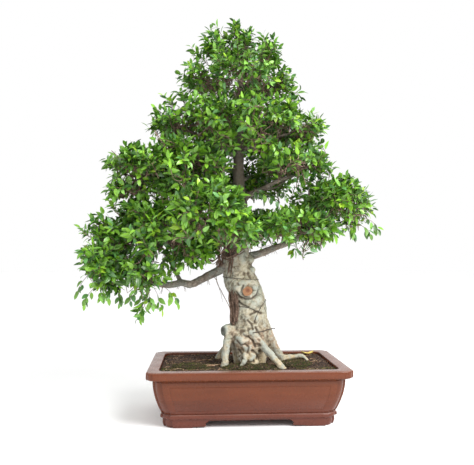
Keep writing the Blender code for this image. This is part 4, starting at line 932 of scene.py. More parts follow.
def sawn_finish(name, face, pale, dark, core, spread):
    """Sawn wood with its rings round the face's own middle, and a darker core of this spread."""
    material, tree, shader = new_finish(name, 0.75)
    here = place_of(tree)
    offset = tree.nodes.new("ShaderNodeVectorMath")
    offset.operation = "DISTANCE"
    tree.links.new(here, offset.inputs[0])
    offset.inputs[1].default_value = face.data.vertices[-1].co
    wave = sums(tree, "MULTIPLY", sums(tree, "SUBTRACT", clouds(tree, here, 110.0), 0.5), 0.005)
    from_middle = sums(tree, "ADD", offset.outputs["Value"], wave)
    rings = sums(tree, "SINE", sums(tree, "MULTIPLY", from_middle, 1750.0))
    ring_share = sums(tree, "ADD", sums(tree, "MULTIPLY", rings, 0.5), 0.5)
    colour = shades(tree, ring_share, (0.15, dark), (0.85, pale))
    inner = shades(tree, sums(tree, "DIVIDE", from_middle, spread), (0.25, 0.9), (0.75, 0.0))
    put(shader.inputs["Base Color"], blend(tree, inner, colour, core))
    relief(tree, shader, (rings, 0.0004, 0.6), (clouds(tree, here, 600.0), 0.0005, 0.6))
    return material


SCAR = (0.0005, -0.0535, 0.2385)
scar = wood_face("pruning_scar", SCAR, (0.04, -1.0, 0.02), 0.0148, 0.006, 7)
scar.data.materials.append(sawn_finish(
    "sawn_scar", scar, (0.36, 0.190, 0.090), (0.22, 0.092, 0.040), (0.150, 0.048, 0.020), 0.013))
STUB = (-0.0728, -0.0458, 0.1151)
stub = wood_face("stub_face", STUB, (-0.90, -0.42, -0.06), 0.0150, 0.0030, 5)
stub.data.materials.append(sawn_finish(
    "sawn_stub", stub, (0.185, 0.200, 0.165), (0.090, 0.095, 0.080), (0.052, 0.048, 0.040), 0.012))


# -------------------------------------------------------------------------------------- branches
# Each branch is a stem that leaves the trunk at a collar. The bark is greyer and rougher than the trunk's,
# and kinked where shoots were cut back year after year.

limb_bark = bark_finish(
    "branch_bark", (0.300, 0.255, 0.205), (0.190, 0.155, 0.120), (0.080, 0.062, 0.048), (0.200, 0.215, 0.185),
    (0.030, 0.024, 0.020))
branch_nodes = sorted(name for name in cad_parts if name.startswith("branch_"))
wood_points = []
for node in branch_nodes:
    limb = finer_copy(node.replace("branch", "limb"), node, 0.0019, 6)
    roughen(limb, (0.022, 0.0034), (0.007, 0.0018))
    pick(limb)
    bpy.ops.object.shade_smooth()
    limb.data.materials.append(limb_bark)
    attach(limb, "root")
    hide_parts(node)
    wood_points.append(corners(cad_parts[node].data)[0])
trunk_points = corners(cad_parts["trunk"].data)[0]
wood_points.append(trunk_points[trunk_points[:, 2] > CROWN + 0.36])
wood_points = np.concatenate(wood_points)


# ---------------------------------------------------------------------------------- aerial roots
# Stringy brown roots that the tree has dropped: a bundle down the trunk's left side, a tangle of
# older ones over the low left branch, one hanging free, and short whiskers under both low limbs.

def wandering(route, count, sway, source):
    """A route's smooth line with small sideways sways, ends held; rows are (x, y, z, radius)."""
    line = []
    offset = np.zeros(3)
    for index, row in enumerate(through(route, count)):
        ease = math.sin(math.pi * index / (count - 1)) ** 0.5
        offset = offset * 0.72 + np.array([source.gauss(0, sway) for _ in range(3)])
        place = on_tree(*(row[:3] + offset * ease))
        line.append((*place, max(row[3], 0.0002)))
    return line


BUNDLE = [
    [(-0.047, -0.030, 0.246), (-0.045, -0.040, 0.215), (-0.042, -0.047, 0.185), (-0.042, -0.050, 0.138)],
    [(-0.037, -0.042, 0.238), (-0.035, -0.050, 0.210), (-0.032, -0.054, 0.185), (-0.035, -0.055, 0.146)],
    [(-0.052, -0.016, 0.250), (-0.051, -0.028, 0.212), (-0.049, -0.038, 0.180), (-0.049, -0.042, 0.140)],
]
TANGLE = [
    [(-0.070, -0.012, 0.420), (-0.088, -0.016, 0.376), (-0.084, -0.020, 0.345), (-0.080, -0.022, 0.318)],
    [(-0.056, -0.016, 0.410), (-0.070, -0.022, 0.372), (-0.078, -0.026, 0.346), (-0.078, -0.024, 0.316)],
    [(-0.110, -0.014, 0.404), (-0.098, -0.018, 0.366), (-0.086, -0.020, 0.346), (-0.092, -0.022, 0.312)],
    [(-0.060, -0.030, 0.352), (-0.040, -0.040, 0.366), (-0.018, -0.044, 0.376), (0.004, -0.040, 0.384)],
    [(-0.084, -0.030, 0.350), (-0.060, -0.040, 0.340), (-0.036, -0.046, 0.352), (-0.012, -0.046, 0.370)],
    [(-0.050, -0.034, 0.424), (-0.056, -0.038, 0.380), (-0.052, -0.038, 0.340), (-0.056, -0.032, 0.294)],
    [(-0.040, -0.040, 0.414), (-0.047, -0.043, 0.372), (-0.046, -0.043, 0.330), (-0.052, -0.036, 0.290)],
    [(-0.118, -0.030, 0.372), (-0.100, -0.040, 0.392), (-0.082, -0.042, 0.374), (-0.094, -0.040, 0.352),
     (-0.112, -0.036, 0.362)],
    [(-0.030, -0.046, 0.420), (-0.052, -0.048, 0.398), (-0.078, -0.044, 0.402), (-0.104, -0.034, 0.386)],
    [(-0.130, -0.034, 0.340), (-0.106, -0.038, 0.334), (-0.086, -0.036, 0.348), (-0.070, -0.038, 0.372)],
]


def strand_bundle(name, routes, copies, spread, thick, source):
    """Copies of each route, set apart and of mixed thickness, as one piece."""
    lines = []
    for route in routes:
        for _ in range(copies):
            shift = np.array([source.gauss(0, spread) for _ in range(3)])
            radius = source.uniform(*thick)
            rows = [(*(np.array(point) + shift * (0.5 + 0.5 * (k % 2))), radius * source.uniform(0.7, 1.2))
                    for k, point in enumerate(route)]
            lines.append(wandering(rows, 16, 0.0009, source))
    return strands(name, lines, 6)


aerial_skin, tree, shader = new_finish("aerial_root_bark", 0.85)
here = place_of(tree, (1, 1, 0.35))
fibres = clouds(tree, here, 330.0, 5.0, 0.65)
put(shader.inputs["Base Color"], shades(
    tree, fibres,
    (0.32, (0.036, 0.020, 0.013)), (0.52, (0.125, 0.075, 0.050)), (0.72, (0.310, 0.215, 0.155))))
relief(tree, shader, (fibres, 0.0008, 0.9))
strand_chance = random.Random(21)
bundle = strand_bundle("root_bundle", BUNDLE, 12, 0.0028, (0.0010, 0.0026), strand_chance)
tangle = strand_bundle("root_tangle", TANGLE, 5, 0.0048, (0.0007, 0.0021), strand_chance)
LONG_STRAND = [(-0.098, -0.016, 0.287, 0.0014), (-0.090, -0.022, 0.256, 0.0012),
               (-0.073, -0.036, 0.226, 0.0011), (-0.051, -0.048, 0.180, 0.0010)]
SHORT_STRAND = [(-0.104, -0.014, 0.284, 0.0008), (-0.092, -0.020, 0.262, 0.0007),
                (-0.084, -0.028, 0.232, 0.0006), (-0.076, -0.036, 0.204, 0.0004)]
hanging = strands("hanging_root", [
    wandering(LONG_STRAND, 26, 0.0006, strand_chance),
    wandering(SHORT_STRAND, 20, 0.0008, strand_chance),
], 6)
whiskers = []
for x, y, z, length in (
    (-0.122, -0.020, 0.286, 0.030), (-0.150, -0.026, 0.272, 0.016), (-0.196, -0.034, 0.258, 0.022),
    (-0.212, -0.036, 0.258, 0.014), (-0.262, -0.042, 0.256, 0.026), (-0.180, -0.030, 0.258, 0.012),
    (0.070, 0.006, 0.366, 0.016), (0.092, 0.008, 0.376, 0.022), (0.128, 0.010, 0.392, 0.012),
    (0.058, 0.004, 0.358, 0.012),
):
    for _ in range(3):
        drift = strand_chance.uniform(-0.010, 0.010)
        route = [(x, y, z, 0.0008), (x + drift * 0.4, y, z - length * 0.5, 0.0006),
                 (x + drift, y, z - length, 0.0003)]
        whiskers.append(wandering(route, 8, 0.0008, strand_chance))
whiskers = strands("limb_whiskers", whiskers)
for piece, node in (
    (bundle, "aerial_roots_bundle"), (tangle, "aerial_roots_tangle"), (hanging, "aerial_root_hanging"),
    (whiskers, None),
):
    piece.data.materials.append(aerial_skin)
    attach(piece, "root")
    if node:
        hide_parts(node)


# ------------------------------------------------------------------------------------------ ties
# Dark tarred twine, two strands twisted: a ring round the upper trunk, and a loop that crosses
# itself on the front. A stiffer end of wire stands out from the trunk's right side. All are tied
# by hand, pressed into the bark.

def round_trunk(axis_x, axis_y, levels, lift):
    """A line on the trunk's skin: levels are (turn from the front in degrees, height)."""
    line = []
    for turn, height in levels:
        outwards = Vector((math.sin(math.radians(turn)), -math.cos(math.radians(turn)), 0))
        axis = on_tree(axis_x, axis_y, height)
        hit = trunk_skin.ray_cast(axis + outwards * 0.2, -outwards, 0.2)[0]
        line.append((hit if hit is not None else axis) + outwards * lift)
    return line


def twisted(line, radius, pitch=0.0046):
    """Two strands wound round a line."""
    pair, travelled = [[], []], 0.0
    for index, place in enumerate(line):
        ahead = line[min(index + 1, len(line) - 1)] - line[max(index - 1, 0)]
        side = ahead.cross(Vector((0, 0, 1))).normalized()
        other = ahead.cross(side).normalized()
        if index:
            travelled += (place - line[index - 1]).length
        angle = 2 * math.pi * travelled / pitch
        for number, strand in enumerate(pair):
            swing = math.cos(angle + math.pi * number) * side + math.sin(angle + math.pi * number) * other
            strand.append((*(place + swing * radius * 0.55), radius * 0.62))
    return pair


def eased(points, count):
    """Levels read smoothly through a few chosen ones."""
    return [tuple(row) for row in through(points, count)]


twine, tree, shader = new_finish("twine", 0.8)
here = place_of(tree)
put(shader.inputs["Base Color"], shades(
    tree, clouds(tree, here, 800.0), (0.35, (0.020, 0.014, 0.011)), (0.70, (0.100, 0.074, 0.058))))
relief(tree, shader, (clouds(tree, here, 2600.0), 0.0003, 0.8))
TWINE_RADIUS, WIRE_RADIUS = 0.0011, 0.0014
RING_LEVELS = [(-176, 0.286), (-90, 0.282), (0, 0.276), (90, 0.273), (178, 0.280)]
LOOP_LEVELS = [(14, 0.142), (24, 0.168), (70, 0.206), (180, 0.214), (290, 0.196), (356, 0.188), (386, 0.176)]
WIRE_LEVELS = [(4, 0.113), (60, 0.116), (95, 0.117)]
ring_line = round_trunk(-0.015, 0.0, eased(RING_LEVELS, 150), 0.0010)
loop_line = round_trunk(0.006, -0.008, eased(LOOP_LEVELS, 190), 0.0012)
wire_line = round_trunk(0.010, -0.010, eased(WIRE_LEVELS, 40), 0.0012)
for name, node, line in (("twine_ring", "tie_ring", ring_line), ("twine_loop", "tie_loop", loop_line)):
    tie = strands(name, twisted(line, TWINE_RADIUS), 6)
    tie.data.materials.append(twine)
    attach(tie, "root")
    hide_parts(node)
tail = [(*place, WIRE_RADIUS) for place in wire_line]
end = tail[-1]
tail += [(end[0] + 0.0025 * k, end[1] - 0.0012 * k, end[2] + 0.0002 * k, WIRE_RADIUS) for k in range(1, 5)]
tie = strands("wire_tail", [tail], 6)
tie.data.materials.append(twine)
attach(tie, "root")
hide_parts("tie_wire_end")


# ------------------------------------------------------------------------------- twigs and leaves
# Each pad of foliage is a few hundred sprigs: a thin reddish twig with alternate leaves, growing
# out and up from finer limbs inside the pad. Leaves are oval and pointed, leathery and glossy
# above with a pale midrib, paler and duller below, smaller towards the top of the tree.

LEAF_STEPS = [0.0, 0.15, 0.27, 0.49, 0.71, 0.89, 1.0]
LEAF_WIDTHS = [0.012, 0.015, 0.150, 0.208, 0.172, 0.078, 0.0]


def leaf_shape(curl, fold, skew):
    """A leaf of length one along Y, face up: a closed blade with its stalk, from a round primitive."""
    bpy.ops.object.select_all(action="DESELECT")
    bpy.ops.mesh.primitive_uv_sphere_add(segments=4, ring_count=6, radius=1.0)
    leaf = bpy.context.object
    for vertex in leaf.data.vertices:
        ring = round(6 * (1 - math.acos(max(-1, min(1, vertex.co.z))) / math.pi))
        along, width = LEAF_STEPS[ring], LEAF_WIDTHS[ring]
        side = 0 if ring in (0, 6) else (abs(vertex.co.x) > 0.1) * math.copysign(1, vertex.co.x)
        face = 0 if ring in (0, 6) or side else math.copysign(1, vertex.co.y)
        thick = 0.007 if ring > 1 else 0.010
        vertex.co = Vector((
            side * width + skew * along * along,
            along - 0.25 * curl * along * along,
            face * thick + abs(side) * fold * width - curl * along * along,
        ))
    bpy.ops.object.mode_set(mode="EDIT")
    bpy.ops.mesh.select_all(action="SELECT")
    bpy.ops.mesh.normals_make_consistent(inside=False)
    bpy.ops.object.mode_set(mode="OBJECT")
    points = corners(leaf.data)[0]
    faces = [tuple(face.vertices) for face in leaf.data.polygons]
    uppers = [face.normal.z > 0 for face in leaf.data.polygons]
    bpy.data.objects.remove(leaf)
    return points, faces, uppers


leaf_shapes = [leaf_shape(0.10, 0.30, 0.02), leaf_shape(0.28, 0.18, -0.05), leaf_shape(0.02, 0.42, 0.04),
               leaf_shape(0.40, 0.35, 0.00), leaf_shape(0.16, 0.10, 0.07)]


def leaf_finish(name, rough, shine, vein, pale):
    """One face of the leaves, with a midrib and side veins that follow each blade."""
    material, tree, shader = new_finish(name, rough)
    tint = tree.nodes.new("ShaderNodeAttribute")
    tint.attribute_name = "tint"
    across = tree.nodes.new("ShaderNodeUVMap")
    across.uv_map = "Blade"
    parts = tree.nodes.new("ShaderNodeSeparateXYZ")
    tree.links.new(across.outputs[0], parts.inputs[0])
    off_middle = sums(tree, "ABSOLUTE", sums(tree, "SUBTRACT", parts.outputs["X"], 0.5))
    rib = shades(tree, off_middle, (0.012, 1.0), (0.045, 0.0))
    slant = sums(tree, "SUBTRACT", parts.outputs["Y"], sums(tree, "MULTIPLY", off_middle, 0.55))
    ripple = sums(tree, "SINE", sums(tree, "MULTIPLY", slant, 64.0))
    side_veins = shades(tree, ripple, (0.86, 0.0), (1.0, 0.5))
    here = place_of(tree)
    mottle = shades(tree, clouds(tree, here, 90.0), (0.34, 0.80), (0.66, 1.18))
    colour = blend(tree, 1.0, tint.outputs["Color"], mottle, "MULTIPLY")
    colour = blend(tree, sums(tree, "MULTIPLY", sums(tree, "MAXIMUM", rib, side_veins), vein), colour, pale)
    put(shader.inputs["Base Color"], colour)
    worn_shine = shades(tree, clouds(tree, here, 60.0), (0.3, rough - 0.06), (0.7, rough + 0.08))
    put(shader.inputs["Roughness"], worn_shine)
    shader.inputs["Specular IOR Level"].default_value = shine
    relief(tree, shader, (sums(tree, "MAXIMUM", rib, side_veins), 0.0005, 0.5))
    return material


upper_skin = leaf_finish("leaf_upper", 0.30, 0.72, 0.4, (0.22, 0.36, 0.11))
under_skin = leaf_finish("leaf_under", 0.55, 0.35, 0.6, (0.28, 0.38, 0.17))
LEAF_TINTS = [(0.115, 0.280, 0.014), (0.190, 0.415, 0.022), (0.040, 0.125, 0.010), (0.185, 0.420, 0.060),
              (0.330, 0.550, 0.035), (0.085, 0.240, 0.060)]


def leaves_piece(name, leaves):
    """One mesh of many leaves, each (base, axis, upward normal, length, shade, shape number)."""
    count = len(leaves)
    grid = math.ceil(math.sqrt(count))
    all_points, all_faces, tints, blade, baked, material = [], [], [], [], [], []
    for number, (base, axis, normal, length, tint, kind) in enumerate(leaves):
        points, faces, uppers = leaf_shapes[kind]
        side = np.cross(axis, normal)
        side /= np.linalg.norm(side)
        up = np.cross(side, axis)
        turn = np.stack([side, axis, up], axis=1)
        start = number * len(points)
        all_points.append(points * length @ turn.T + base)
        tints.append(np.tile(tint, (len(points), 1)))
        cell_x, cell_y = number % grid, number // grid
        for face, upper in zip(faces, uppers):
            all_faces.append([index + start for index in face])
            material.append(0 if upper else 1)
            for index in face:
                u, v = points[index][0] / 0.50 + 0.5, min(max(points[index][1], 0.0), 1.0)
                blade.append((u, v))
                u = 0.02 + 0.46 * min(max(u, 0.0), 1.0) + (0.0 if upper else 0.5)
                baked.append(((cell_x + u) / grid, (cell_y + 0.03 + 0.94 * v) / grid))
    mesh = bpy.data.meshes.new(name)
    mesh.from_pydata(np.concatenate(all_points).tolist(), [], all_faces)
    tint_points(mesh, "tint", np.concatenate(tints))
    for label, values in (("OFBake", baked), ("Blade", blade)):
        layer = mesh.uv_layers.new(name=label)
        layer.data.foreach_set("uv", np.array(values, np.float32).ravel())
    mesh.materials.append(upper_skin)
    mesh.materials.append(under_skin)
    mesh.polygons.foreach_set("material_index", np.array(material, np.int32))
    piece = bpy.data.objects.new(name, mesh)
    bpy.context.scene.collection.objects.link(piece)
    pick(piece)
    bpy.ops.object.shade_smooth_by_angle(angle=math.radians(48))
    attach(piece, "root")
    return piece


def unit(vector):
    """A direction with a length of one."""
    return np.asarray(vector, float) / max(np.linalg.norm(vector), 1e-9)


def spots_on(mesh, count, source):
    """Spots spread over a pad's skin, thinner underneath, each (place, normal)."""
    triangles = [(face, np.array([mesh.vertices[i].co for i in face.vertices])) for face in mesh.polygons]
    weights = []
    for face, points in triangles:
        weights.append(face.area * (1.0 if face.normal.z > -0.30 else 0.60))
    found = []
    for face, points in source.choices(triangles, weights, k=count):
        one, two = sorted((source.random(), source.random()))
        place = points[0] * one + points[1] * (two - one) + points[2] * (1 - two)
        found.append((place, np.array(face.normal)))
    return found


def leafy_twig(line, leaf_length, count, outward, bright, source, droop=0.15):
    """Alternate leaves up a twig, one at its tip. The line's rows are (x, y, z, radius)."""
    rows = np.array(line)[:, :3]
    leaves = []
    spin = source.uniform(0, 6.28)
    for index in range(count):
        share = 0.30 + 0.70 * index / (count - 1)
        spot = share * (len(rows) - 1)
        low = min(int(spot), len(rows) - 2)
        base = rows[low] + (rows[low + 1] - rows[low]) * (spot - low)
        ahead = unit(rows[low + 1] - rows[low])
        side = unit(np.cross(ahead, (0.31, 0.17, 0.93)))
        other = np.cross(ahead, side)
        angle = spin + index * 2.4
        radial = math.cos(angle) * side + math.sin(angle) * other
        spread = 0.25 if index == count - 1 else 0.95
        axis = unit(ahead * 0.62 + radial * spread + np.array([0, 0, -droop]) + outward * 0.20
                    + np.array([source.gauss(0, 0.12) for _ in range(3)]))
        normal = np.array([0, 0, 0.55]) + outward * 0.62 + np.array([source.gauss(0, 0.34) for _ in range(3)])
        normal = unit(normal - axis * (normal @ axis))
        young = max(0.0, share - 0.6) * bright
        mix = (5, 4 + 4 * young, 5 - 3 * young, 2 + 5 * young, 0.5 + 3 * young, 2)
        tint = np.array(source.choices(LEAF_TINTS, mix)[0])
        tint = tint * source.uniform(0.78, 1.22)
        length = leaf_length * source.uniform(0.78, 1.15) * (0.82 if index > count - 3 else 1.0)
        leaves.append((base, axis, normal, length, tint, source.randrange(5)))
    return leaves


twig_bark, tree, shader = new_finish("twig_bark", 0.8)
here = place_of(tree)
put(shader.inputs["Base Color"], shades(
    tree, clouds(tree, here, 120.0, 4.0),
    (0.32, (0.080, 0.048, 0.036)), (0.52, (0.200, 0.125, 0.094)), (0.70, (0.330, 0.235, 0.180))))
relief(tree, shader, (clouds(tree, here, 700.0), 0.0004, 0.7))

SPRIG_SPACING = 0.00102
LEAF_AT_FOOT, LEAF_LESS_AT_TOP = 0.037, 0.010
HUB_ROUNDS = 6
LOWEST_PAD = CROWN + 0.24
TREE_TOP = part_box("leaves_apex")[1].z


def curved(start, end, bulge, count, thick, thin, source):
    """A slightly bent twig from start to end, getting thinner."""
    rows = []
    bend = np.array([source.gauss(0, bulge) for _ in range(3)])
    for index in range(count):
        share = index / (count - 1)
        place = start + (end - start) * share + bend * math.sin(math.pi * share)
        place = place + np.array([source.gauss(0, bulge * 0.12) for _ in range(3)]) * (0 < index < count - 1)
        rows.append((*place, thick + (thin - thick) * share))
    return rows


def build_pad(node, source):
    """The leaves and twigs that stand for one pad."""
    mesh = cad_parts[node].data
    area = sum(face.area for face in mesh.polygons)
    spots = spots_on(mesh, int(area / SPRIG_SPACING), source)
    middle = corners(mesh)[0].mean(axis=0)
    height = min(max((middle[2] - LOWEST_PAD) / (TREE_TOP - LOWEST_PAD), 0), 1)
    leaf_length = LEAF_AT_FOOT - LEAF_LESS_AT_TOP * height
    sprigs = []
    for place, normal in spots:
        depth = source.choice((0.006, 0.010, 0.014, 0.018, 0.024, 0.032, 0.044))
        outward = unit(normal + np.array([0, 0, 0.25]))
        tip = place - normal * depth
        stray = np.array([source.gauss(0, 0.35) for _ in range(3)])
        heading = unit(normal * 0.9 + np.array([0, 0, 0.40]) + stray)
        sprigs.append((tip - heading * source.uniform(0.036, 0.060), tip, outward, depth))
    starts = np.array([sprig[0] for sprig in sprigs])
    hubs = starts[source.sample(range(len(starts)), max(4, len(starts) // 9))]
    for _ in range(HUB_ROUNDS):
        nearest = np.linalg.norm(starts[:, None] - hubs[None], axis=2).argmin(axis=1)
        hubs = np.array([starts[nearest == k].mean(axis=0) if (nearest == k).any() else hub
                         for k, hub in enumerate(hubs)])
    hubs = hubs + (middle - hubs) * 0.22
    nearest = np.linalg.norm(starts[:, None] - hubs[None], axis=2).argmin(axis=1)
    lines, leaves = [], []
    joined = wood_points
    order = np.argsort([np.linalg.norm(joined - hub, axis=1).min() for hub in hubs])
    for index in order:
        hub = hubs[index]
        gaps = np.linalg.norm(joined - hub, axis=1)
        root = joined[gaps.argmin()]
        line = curved(root, hub, 0.008, 7, 0.0026, 0.0016, source)
        lines.append(line)
        joined = np.concatenate([joined, np.array(line)[2:, :3]])
    for (start, tip, outward, depth), k in zip(sprigs, nearest):
        twig = curved(hubs[k], start, 0.005, 4, 0.0015, 0.0012, source)[:-1]
        twig += curved(start, tip, 0.003, 5, 0.0012, 0.0006, source)
        lines.append(twig)
        bright = max(0.0, 1.0 - depth / 0.05)
        count = source.randrange(7, 11) if outward[2] > -0.15 else source.randrange(2, 6)
        leaves += leafy_twig(twig[3:], leaf_length, count, outward, bright, source)
    return lines, leaves


pad_chance = random.Random(5)
pad_nodes = sorted(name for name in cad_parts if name.startswith("leaves_"))
# Sprays hang from the pads' lower edges. Each is a line of places on its twig.
SPRAYS = {
    "leaves_low_left_outer": [
        [(-0.455, -0.070, 0.262), (-0.476, -0.084, 0.240), (-0.486, -0.090, 0.224), (-0.492, -0.092, 0.206)],
        [(-0.430, -0.080, 0.258), (-0.438, -0.096, 0.244), (-0.442, -0.100, 0.236), (-0.444, -0.102, 0.228)],
        [(-0.408, -0.080, 0.256), (-0.414, -0.096, 0.244), (-0.418, -0.100, 0.236), (-0.420, -0.102, 0.226)],
        [(-0.480, -0.060, 0.300), (-0.500, -0.074, 0.272), (-0.510, -0.080, 0.254), (-0.516, -0.082, 0.240)],
        [(-0.386, -0.080, 0.250), (-0.388, -0.096, 0.236), (-0.386, -0.100, 0.226), (-0.384, -0.102, 0.216)],
    ],
    "leaves_low_left_inner": [
        [(-0.300, -0.060, 0.256), (-0.322, -0.078, 0.228), (-0.326, -0.084, 0.202), (-0.328, -0.088, 0.180)],
        [(-0.288, -0.070, 0.252), (-0.276, -0.080, 0.232), (-0.268, -0.086, 0.206), (-0.262, -0.090, 0.190)],
        [(-0.262, -0.050, 0.256), (-0.240, -0.066, 0.240), (-0.228, -0.072, 0.226), (-0.216, -0.078, 0.208)],
        [(-0.330, -0.070, 0.258), (-0.348, -0.084, 0.240), (-0.352, -0.090, 0.228), (-0.354, -0.092, 0.216)],
        [(-0.300, -0.052, 0.258), (-0.302, -0.074, 0.236), (-0.296, -0.086, 0.216), (-0.290, -0.090, 0.204)],
    ],
    "leaves_low_right_inner": [
        [(0.150, 0.000, 0.392), (0.158, -0.022, 0.378), (0.152, -0.028, 0.368), (0.146, -0.030, 0.360)],
        [(0.190, 0.000, 0.420), (0.200, -0.026, 0.404), (0.210, -0.034, 0.394), (0.222, -0.040, 0.386)],
        [(0.230, 0.000, 0.446), (0.246, -0.030, 0.430), (0.262, -0.040, 0.418), (0.276, -0.046, 0.408)],
    ],
    "leaves_low_right_outer": [
        [(0.310, -0.060, 0.446), (0.320, -0.074, 0.432), (0.326, -0.080, 0.424), (0.330, -0.084, 0.414)],
        [(0.350, -0.050, 0.450), (0.366, -0.064, 0.440), (0.376, -0.070, 0.432), (0.384, -0.074, 0.420)],
        [(0.376, -0.040, 0.470), (0.396, -0.054, 0.458), (0.404, -0.060, 0.446), (0.410, -0.064, 0.436)],
    ],
    "leaves_mid_right": [
        [(0.040, 0.000, 0.558), (0.060, -0.030, 0.546), (0.078, -0.040, 0.536), (0.092, -0.046, 0.524)],
        [(0.096, -0.010, 0.586), (0.112, -0.034, 0.566), (0.120, -0.044, 0.550), (0.126, -0.050, 0.536)],
        [(0.000, -0.010, 0.548), (0.020, -0.034, 0.556), (0.036, -0.044, 0.552), (0.050, -0.048, 0.542)],
    ],
}
# Shoots stand out from the pads' edges in threes. Each is given by its start and its end.
SHOOTS = {
    "leaves_apex": [
        ((-0.140, -0.020, 0.885), (-0.190, -0.030, 0.895)),
        ((-0.150, -0.020, 0.905), (-0.205, -0.030, 0.925)),
        ((-0.140, -0.020, 0.930), (-0.195, -0.030, 0.960)),
        ((-0.125, -0.010, 0.965), (-0.170, -0.020, 1.000)),
        ((-0.100, -0.010, 1.010), (-0.132, -0.020, 1.050)),
        ((-0.070, -0.010, 1.040), (-0.096, -0.020, 1.082)),
        ((-0.030, 0.000, 1.060), (-0.042, -0.010, 1.098)),
        ((0.110, -0.020, 0.880), (0.158, -0.030, 0.866)),
        ((0.110, -0.030, 0.850), (0.160, -0.040, 0.840)),
    ],
    "leaves_high_left": [
        ((-0.190, -0.020, 0.820), (-0.200, -0.030, 0.856)),
        ((-0.230, -0.020, 0.810), (-0.250, -0.030, 0.846)),
        ((-0.260, -0.020, 0.780), (-0.292, -0.030, 0.806)),
        ((-0.270, -0.020, 0.755), (-0.300, -0.030, 0.765)),
    ],
    "leaves_low_left_outer": [
        ((-0.400, -0.050, 0.470), (-0.424, -0.060, 0.506)),
        ((-0.440, -0.050, 0.450), (-0.462, -0.060, 0.480)),
        ((-0.470, -0.050, 0.400), (-0.502, -0.060, 0.420)),
        ((-0.300, -0.070, 0.250), (-0.336, -0.088, 0.172)),
        ((-0.420, -0.070, 0.270), (-0.442, -0.084, 0.250)),
        ((-0.390, -0.070, 0.262), (-0.400, -0.084, 0.244)),
    ],
    "leaves_low_left_inner": [
        ((-0.120, -0.040, 0.400), (-0.124, -0.055, 0.352)),
        ((-0.148, -0.040, 0.400), (-0.150, -0.060, 0.342)),
        ((-0.176, -0.040, 0.395), (-0.170, -0.060, 0.328)),
        ((-0.204, -0.040, 0.390), (-0.196, -0.060, 0.322)),
        ((-0.232, -0.040, 0.380), (-0.226, -0.060, 0.312)),
        ((-0.256, -0.040, 0.360), (-0.250, -0.060, 0.300)),
        ((-0.166, -0.020, 0.400), (-0.140, -0.040, 0.366)),
        ((-0.218, -0.020, 0.390), (-0.240, -0.050, 0.340)),
    ],
    "leaves_low_right_inner": [
        ((0.140, -0.010, 0.500), (0.150, -0.030, 0.546)),
        ((0.176, -0.010, 0.520), (0.184, -0.030, 0.566)),
        ((0.205, -0.010, 0.540), (0.200, -0.030, 0.590)),
    ],
    "leaves_low_right_outer": [
        ((0.230, -0.010, 0.570), (0.240, -0.030, 0.622)),
        ((0.260, -0.010, 0.580), (0.256, -0.030, 0.630)),
    ],
}
for node in pad_nodes:
    lines, leaves = build_pad(node, pad_chance)
    for route in SPRAYS.get(node, []):
        rows = [(*on_tree(*row), 0.0009 - 0.0001 * k) for k, row in enumerate(through(route, 7))]
        lines.append(rows)
        leaves += leafy_twig(rows, 0.034, 6, np.array([0.0, -0.8, -0.1]), 0.2, pad_chance, 0.75)
    for start, end in SHOOTS.get(node, []):
        start, end = np.array(on_tree(*start)), np.array(on_tree(*end))
        for _ in range(3):
            spread = np.array([pad_chance.gauss(0, 0.010) for _ in range(3)])
            rows = curved(start + spread * 0.4, end + spread, 0.005, 6, 0.0011, 0.0005, pad_chance)
            lines.append(rows)
            leaves += leafy_twig(rows, 0.033, 7, unit(end - start), 0.8, pad_chance, 0.10)
    foliage = leaves_piece(node.replace("leaves", "foliage"), leaves)
    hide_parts(node)
    twigs = strands(node.replace("leaves", "twigs"), lines)
    twigs.data.materials.append(twig_bark)
    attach(twigs, "root")


# ----------------------------------------------------------------------------------- fallen leaf
# One old leaf has dropped near the back right corner: dry, yellow, brown in the middle, and
# curled up along both edges as it lost its water.

leaf_low, leaf_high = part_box("fallen_leaf")
bpy.ops.object.select_all(action="DESELECT")
bpy.ops.mesh.primitive_grid_add(x_subdivisions=18, y_subdivisions=9, size=1.0)
dry = bpy.context.object
dry.name = "dry_leaf"
length = leaf_high.x - leaf_low.x
for vertex in dry.data.vertices:
    along, across = 2 * vertex.co.x, 2 * vertex.co.y
    half = 0.0105 * max(1 - along * along, 0.0008) ** 0.62
    lift = 0.0085 * along * along + 0.0055 * across * across + 0.0006 * math.sin(9 * along + 3 * across)
    vertex.co = Vector((along * length * 0.47, across * half, lift))
apply_modifier(dry, "thickness", "SOLIDIFY", thickness=0.0006, offset=0.0)
apply_modifier(dry, "round", "SUBSURF", levels=1, render_levels=1)
spot = (leaf_low + leaf_high) / 2
lying = Matrix.Translation((spot.x, spot.y, leaf_low.z + 0.0012))
dry.data.transform(lying @ Matrix.Rotation(math.radians(8), 4, "Z"))
pick(dry)
bpy.ops.object.shade_smooth()
dry_skin, tree, shader = new_finish("dry_leaf", 0.5)
here = place_of(tree)
above_ground = sums(tree, "SUBTRACT", height_of(tree, here), leaf_low.z)
high_up = shades(tree, sums(tree, "MULTIPLY", above_ground, 90.0), (0.15, 0.0), (0.65, 1.0))
spots_of_rot = shades(
    tree, clouds(tree, here, 260.0, 4.0), (0.40, (0.30, 0.13, 0.020)), (0.60, (0.62, 0.34, 0.045)))
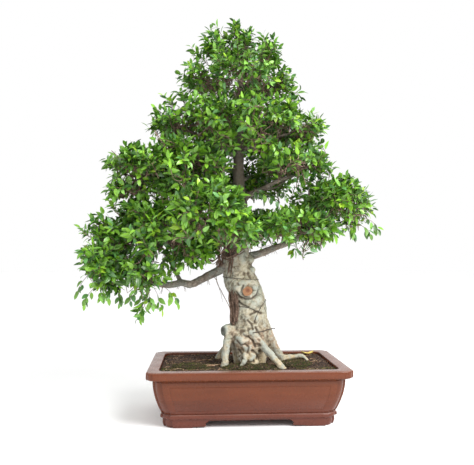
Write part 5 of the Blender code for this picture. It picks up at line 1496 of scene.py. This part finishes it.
put(shader.inputs["Base Color"], blend(tree, high_up, spots_of_rot, (0.80, 0.66, 0.20)))
relief(tree, shader, (clouds(tree, here, 500.0), 0.0004, 0.6))
dry.data.materials.append(dry_skin)
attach(dry, "root")
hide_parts("fallen_leaf")


# ---------------------------------------------------------------------------------------- studio
# A plain pale floor under an even white sky, with one large soft lamp high on the right and a
# weaker one on the left. The camera stands a little above the pot's rim, left of the middle.

bpy.ops.object.select_all(action="DESELECT")
bpy.ops.mesh.primitive_plane_add(size=40.0, location=(MIDDLE.x, MIDDLE.y, -0.0005))
floor = bpy.context.object
floor.name = "floor"
paper, tree, shader = new_finish("pale_paper", 0.9)
shader.inputs["Base Color"].default_value = (1.0, 1.0, 1.0, 1.0)
floor.data.materials.append(paper)

world = bpy.data.worlds.new("white_room")
bpy.context.scene.world = world
world.use_nodes = True
world.node_tree.nodes["Background"].inputs["Color"].default_value = (1.0, 1.0, 1.0, 1.0)
world.node_tree.nodes["Background"].inputs["Strength"].default_value = 1.0
bpy.context.scene.view_settings.view_transform = "Standard"


def soft_lamp(name, place, size, power, target):
    """A round soft lamp at a place, turned to its target."""
    lamp_data = bpy.data.lights.new(name, "AREA")
    lamp_data.shape = "DISK"
    lamp_data.size = size
    lamp_data.energy = power
    lamp = bpy.data.objects.new(name, lamp_data)
    bpy.context.scene.collection.objects.link(lamp)
    lamp.location = place
    lamp.rotation_euler = (Vector(target) - Vector(place)).to_track_quat("-Z", "Y").to_euler()


soft_lamp("key", (1.9, -2.1, 2.7), 2.0, 155.0, (0, 0, 0.6))
soft_lamp("fill", (-2.2, -1.6, 1.6), 1.6, 8.0, (0, 0, 0.5))

camera_data = bpy.data.cameras.new("camera")
camera_data.lens = 44.7
camera_data.sensor_width = 36.0
camera = bpy.data.objects.new("camera", camera_data)
bpy.context.scene.collection.objects.link(camera)
camera.location = (MIDDLE.x - 0.142, MIDDLE.y - 1.886, 0.493)
camera.rotation_euler = (math.radians(92.47), 0.0, math.radians(-3.44))
bpy.context.scene.camera = camera
